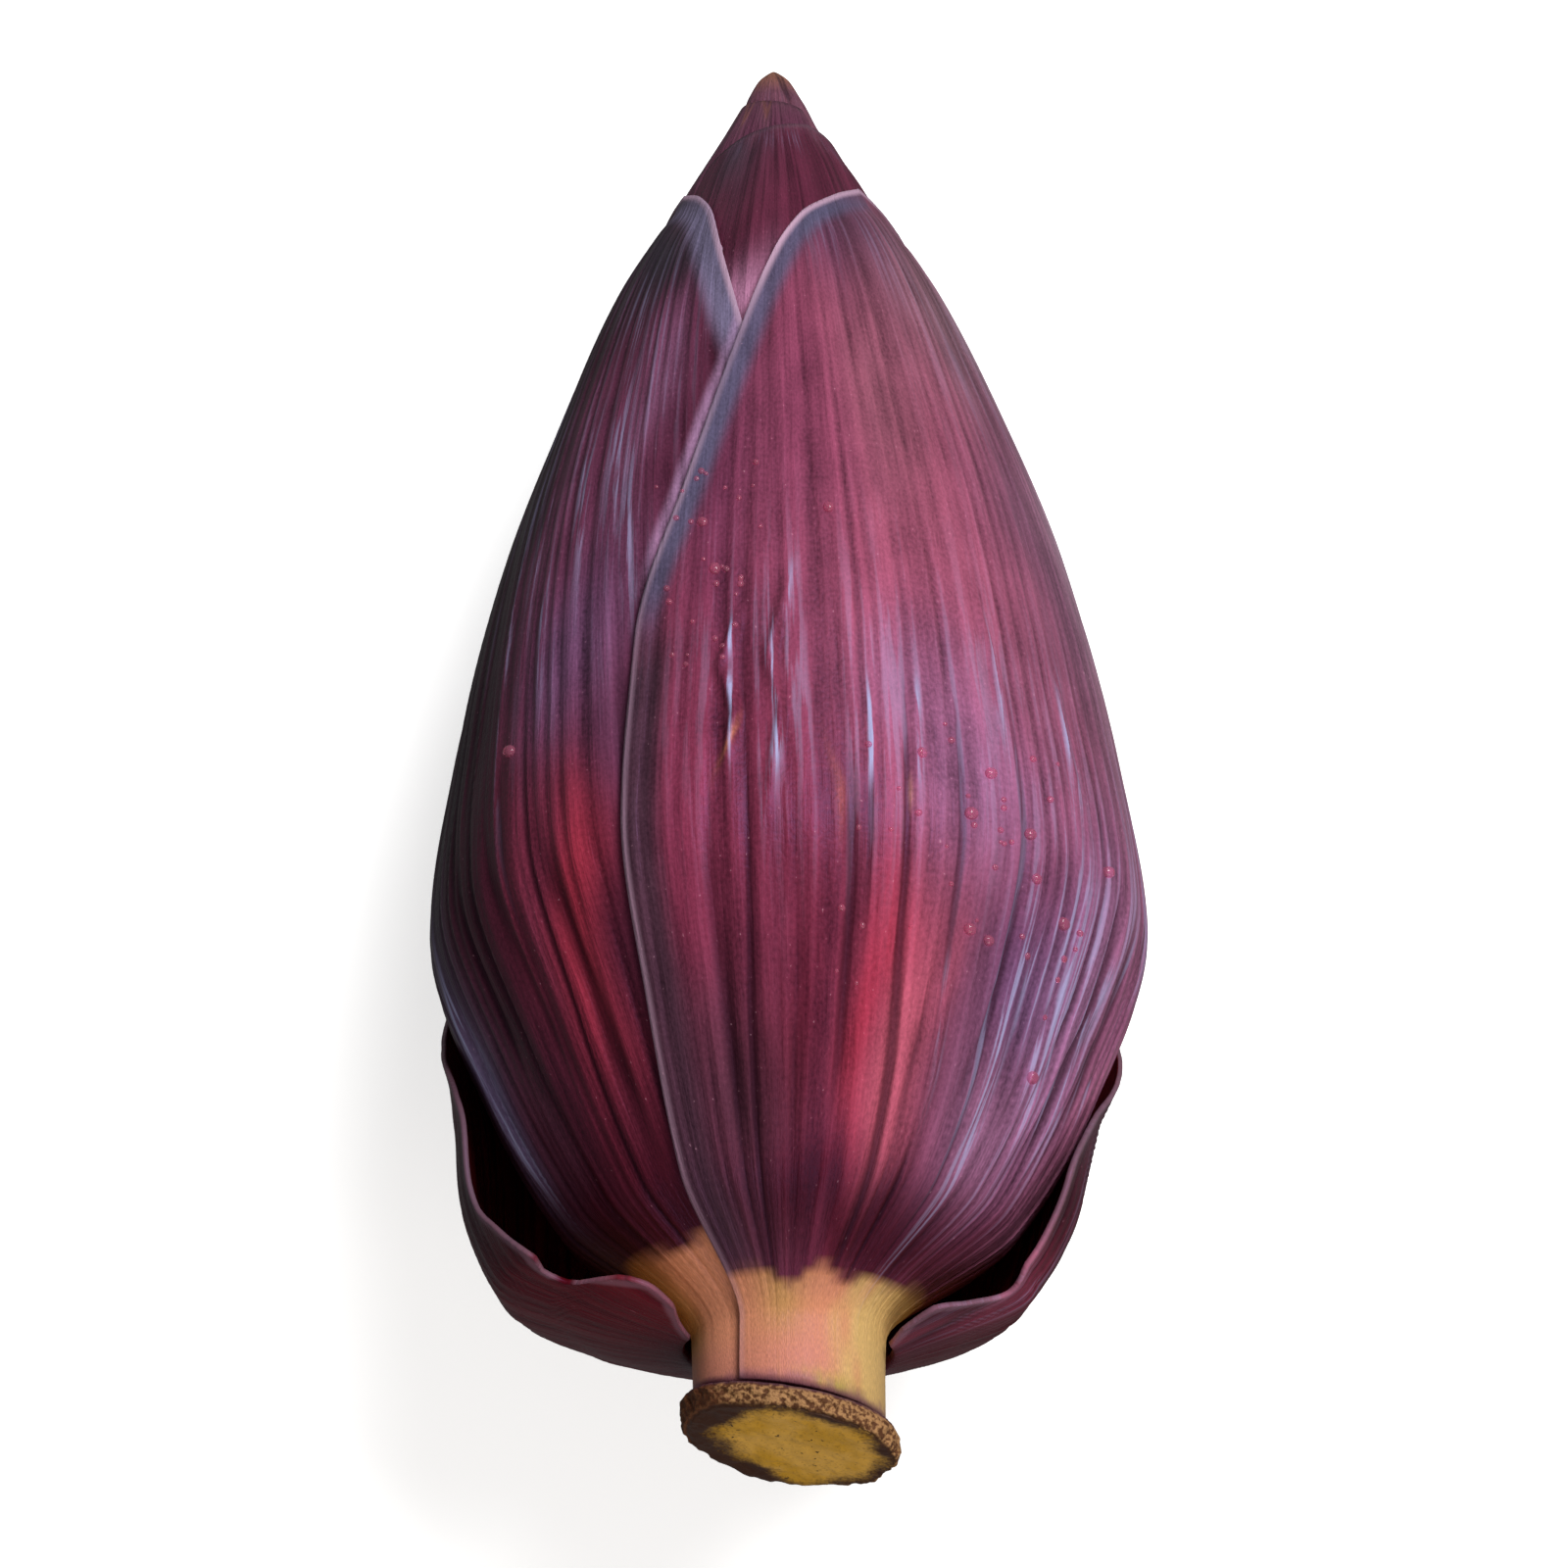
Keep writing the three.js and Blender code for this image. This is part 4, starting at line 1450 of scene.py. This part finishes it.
@dataclass
class Stalk:
    """The cut stump of the stalk with the corky scar ring round it, and its core inside the neck."""

    profile: tuple[tuple[float, float], ...] = (
        (0, -2.2), (8, -2.3), (14.6, -2.4), (16.3, -2.5), (17.3, -1.9), (17.8, -0.5), (17.7, 1.4),
        (17.0, 2.6), (15.0, 3.0), (10.4, 3.4), (10.4, 15), (7.4, 20), (0, 20),
    )
    # How far along the profile each of its points comes on the grid, which crowds them on the ring
    stations: tuple[float, ...] = (
        0.0, 0.14, 0.26, 0.33, 0.4, 0.47, 0.54, 0.61, 0.68, 0.76, 0.9, 0.96, 1.0,
    )
    ring_radius: float = 17.8
    cut_tilt: float = 5.0
    roughness: float = 0.4  # relief of the cork, in millimetres

    def build(self, finish: Finish) -> Piece:
        """Makes the stump, closed at both ends.

        Args:
            finish: Its material.

        Returns:
            The finished piece.
        """
        piece, u, v = unit_grid("cut_stalk_and_scar_ring", 72, 40, 3)
        azimuth = u * 360 - 180
        corners = np.array(self.profile, float)
        run = np.concatenate([[0], np.cumsum(np.hypot(*np.diff(corners, axis=0).T))])
        at = np.interp(v, self.stations, run)
        radius, height = (np.interp(at, run, corners[:, k]) for k in (0, 1))
        cork, pits = SmoothNoise(83), SmoothNoise(84)
        ring = bump_at(v, 0.45, 0.12)
        turn = np.radians(azimuth)
        side, front = math.degrees(0.31) * np.sin(turn), math.degrees(0.31) * np.cos(turn)
        rough = self.roughness * cork(side / 1.4 + 60, front / 1.4 + height / 1.6 + 60)
        rough = rough + 0.25 * cork(side / 0.7 + 60, front / 0.7 + height / 0.9 + 90)
        radius = radius + ring * (rough - 0.25 + 0.45 * cork(side / 6 + 30, front / 6 + 30))
        x, z = radius * np.sin(turn), BUD.flattening * radius * np.cos(turn)
        face = 1 - smooth_step(v, 0.345, 0.38)
        lip = smooth_step(height, 1.7, 2.7) * (1 - face)
        dimple = 0.16 * pits(x / 1.1, z / 1.1) + 0.3 * pits(x / 3.5 + 40, z / 3.5)
        slope = z * math.tan(math.radians(self.cut_tilt)) * (1 - smooth_step(height, -1.5, 2.4))
        height = height + dimple * face + 0.3 * ring * cork(side / 1.1 + 60, front / 1.1) + slope
        points = BUD.to_row(lean_stalk(BUD, np.stack([x, height, z], axis=1)))
        lay(piece, points, points - BUD.to_row(np.array([[BUD.stalk_lean, 8.0, 0.0]])))
        # Painted shade: the left and lower side of the stump, turned from the key light, is marked
        # darker
        painted_shade_side = smooth_step(-np.sin(turn) - 0.25 * np.cos(turn), -0.1, 0.8)
        store(piece, cut=face, crust=painted_shade_side, lip=lip, rim=radius / self.ring_radius)
        piece.data.materials.append(finish)
        edit_all(piece, bpy.ops.mesh.remove_doubles, threshold=SEAM_GAP)
        finish_piece(piece, "peduncle", "cut_stalk")
        return piece


@dataclass
class Water:
    """Drops of water that lie on the two front bracts."""

    seed: int = 5
    large: tuple[tuple[float, float, float], ...] = (
        (-51, 105, 1.1), (-12, 130, 1.0), (-15, 140, 0.9), (8, 142, 0.9), (33, 94, 1.0), (29, 86, 1.1),
        (40, 85, 1.0), (42, 78, 0.9), (31, 68, 1.0), (35, 67, 0.9), (50, 73, 1.1), (60, 85, 1.0),
        (54, 50, 1.1), (21, 95, 0.9),
    )
    # Fields of fine drops: azimuths and heights from and to, and how many
    fields: tuple[tuple[float, float, float, float, int], ...] = (
        (-25, -4, 112, 152, 30), (8, 62, 58, 102, 34),
    )
    fine: tuple[float, float] = (0.3, 0.62)
    squash: tuple[float, float, float] = (1.0, 1.15, 0.8)
    raised: float = 0.25  # share of its radius that a drop's centre lies over the skin

    def spots(self) -> list[tuple[float, float, float]]:
        """Azimuth, height and radius of every drop."""
        draw = np.random.default_rng(self.seed)
        spots = list(self.large)
        for start, end, low, high, count in self.fields:
            for _ in range(count):
                place = draw.uniform(start, end), draw.uniform(low, high)
                spots.append((*place, draw.uniform(*self.fine)))
        return spots

    def build(self, grounds: tuple[Piece, ...], finish: Finish) -> Piece:
        """Makes all the drops as one piece.

        Args:
            grounds: The bracts that they lie on.
            finish: Their material.

        Returns:
            The finished piece.
        """
        bpy.ops.object.select_all(action="DESELECT")
        bpy.ops.mesh.primitive_uv_sphere_add(segments=14, ring_count=8, radius=1.0)
        bead = bpy.context.active_object
        bead.data.transform(Matrix.Diagonal((*self.squash, 1.0)))
        drops = []
        for azimuth, height, radius in self.spots():
            place = (np.array([height]), np.array([azimuth]), np.array([-1.0]))
            aim = Vector(BUD.to_row(BUD.skin(*place))[0])
            found = [ground.closest_point_on_mesh(aim) for ground in grounds]
            _, point, normal, _ = min(found, key=lambda hit: (hit[1] - aim).length)
            drop = bead.copy()
            drop.data = bead.data.copy()
            bpy.context.collection.objects.link(drop)
            turn = normal.to_track_quat("Z", "Y").to_matrix().to_4x4()
            centre = Matrix.Translation(point + normal * radius * self.raised * MM)
            drop.data.transform(centre @ turn @ Matrix.Scale(radius * MM, 4))
            drops.append(drop)
        bpy.data.objects.remove(bead)
        bpy.ops.object.select_all(action="DESELECT")
        for drop in drops:
            drop.select_set(True)
        bpy.context.view_layer.objects.active = drops[0]
        bpy.ops.object.join()
        piece = bpy.context.active_object
        piece.name = piece.data.name = "water_droplets"
        piece.visible_shadow = False
        piece.data.materials.append(finish)
        finish_piece(piece)
        return piece


# ---------------------------------------------------------------- floor, lights and camera


@dataclass(frozen=True)
class SoftBox:
    """A square area light that looks at the bud, with its place and side in metres."""

    name: str
    place: tuple[float, float, float]
    side: float
    watts: float
    colour: str
    aim: tuple[float, float, float] = (0, 0, 0.05)

    def build(self) -> None:
        """Makes the light."""
        bpy.ops.object.light_add(type="AREA", location=self.place)
        lamp = bpy.context.active_object
        lamp.name = self.name
        lamp.data.shape = "SQUARE"
        lamp.data.size = self.side
        lamp.data.energy = self.watts
        lamp.data.color = linear(self.colour)[:3]
        ahead = Vector(self.aim) - Vector(self.place)
        lamp.rotation_euler = ahead.to_track_quat("-Z", "Y").to_euler()


@dataclass
class Studio:
    """White floor, one large soft key light from the tip's side, and the camera above the neck."""

    elevation: float = 64.5
    distance: float = 850.0
    target: float = 125.0
    roll: float = 0.91
    sideways: float = 2.2
    lens: float = 113.93
    shift: float = -0.0353
    floor_side: float = 6.0
    room_light: float = 0.16
    lights: tuple[SoftBox, ...] = (
        SoftBox("key_light", (0.46, 0.42, 1.08), 0.6, 15.2, "#ffffff"),
        SoftBox("top_fill", (0.3, -0.95, 0.6), 0.8, 5.0, "#fff8f0"),
    )

    def camera(self) -> None:
        """Makes the camera."""
        rise = math.radians(self.elevation)
        drop = math.radians(BUD.tip_drop)
        turn = Matrix.Rotation(math.radians(-self.roll), 3, "Z")
        forward = Vector((0, math.cos(rise), -math.sin(rise)))
        place = Vector((-self.sideways, self.target, 0)) - self.distance * forward
        laid = Matrix.Rotation(-drop, 3, "X") @ turn
        eye = BUD.origin() + laid @ place * MM
        ahead = laid @ forward
        right = laid @ Vector((1, 0, 0))
        up = right.cross(ahead)
        bpy.ops.object.camera_add()
        camera = bpy.context.active_object
        camera.name = "camera"
        facing = Matrix((right, up, -ahead)).transposed().to_4x4()
        camera.matrix_world = Matrix.Translation(eye) @ facing
        camera.data.lens = self.lens
        camera.data.sensor_width = 36.0
        camera.data.shift_y = self.shift
        camera.data.clip_start = 0.01
        bpy.context.scene.camera = camera

    def build(self) -> None:
        """Makes the floor, the lights and the camera."""
        bpy.ops.object.select_all(action="DESELECT")
        bpy.ops.mesh.primitive_plane_add(size=self.floor_side)
        floor = bpy.context.active_object
        floor.name = "studio_floor"
        floor.visible_diffuse = False
        floor.visible_glossy = False
        floor.data.materials.append(StudioFloor().material())
        for light in self.lights:
            light.build()
        world = bpy.data.worlds.new("soft_room")
        world.use_nodes = True
        background = world.node_tree.nodes["Background"]
        background.inputs["Color"].default_value = linear("#ffffff")
        background.inputs["Strength"].default_value = self.room_light
        bpy.context.scene.world = world
        bpy.context.scene.view_settings.view_transform = "Standard"
        self.camera()


def main() -> None:
    """Builds every piece in order and reports each."""
    logging.basicConfig(level=logging.INFO, format="%(name)s: %(message)s")
    Studio().build()
    skin, lining = BractSkin().material(), BractLining().material()
    made = {bract.name: bract.build(skin, lining) for bract in Blossom().bracts()}
    BudTip().build(skin)
    Stalk().build(CutStalk().material())
    Water().build((made["front_bract"], made["left_bract"]), WaterBead().material())


if __name__ == "__main__":
    main()
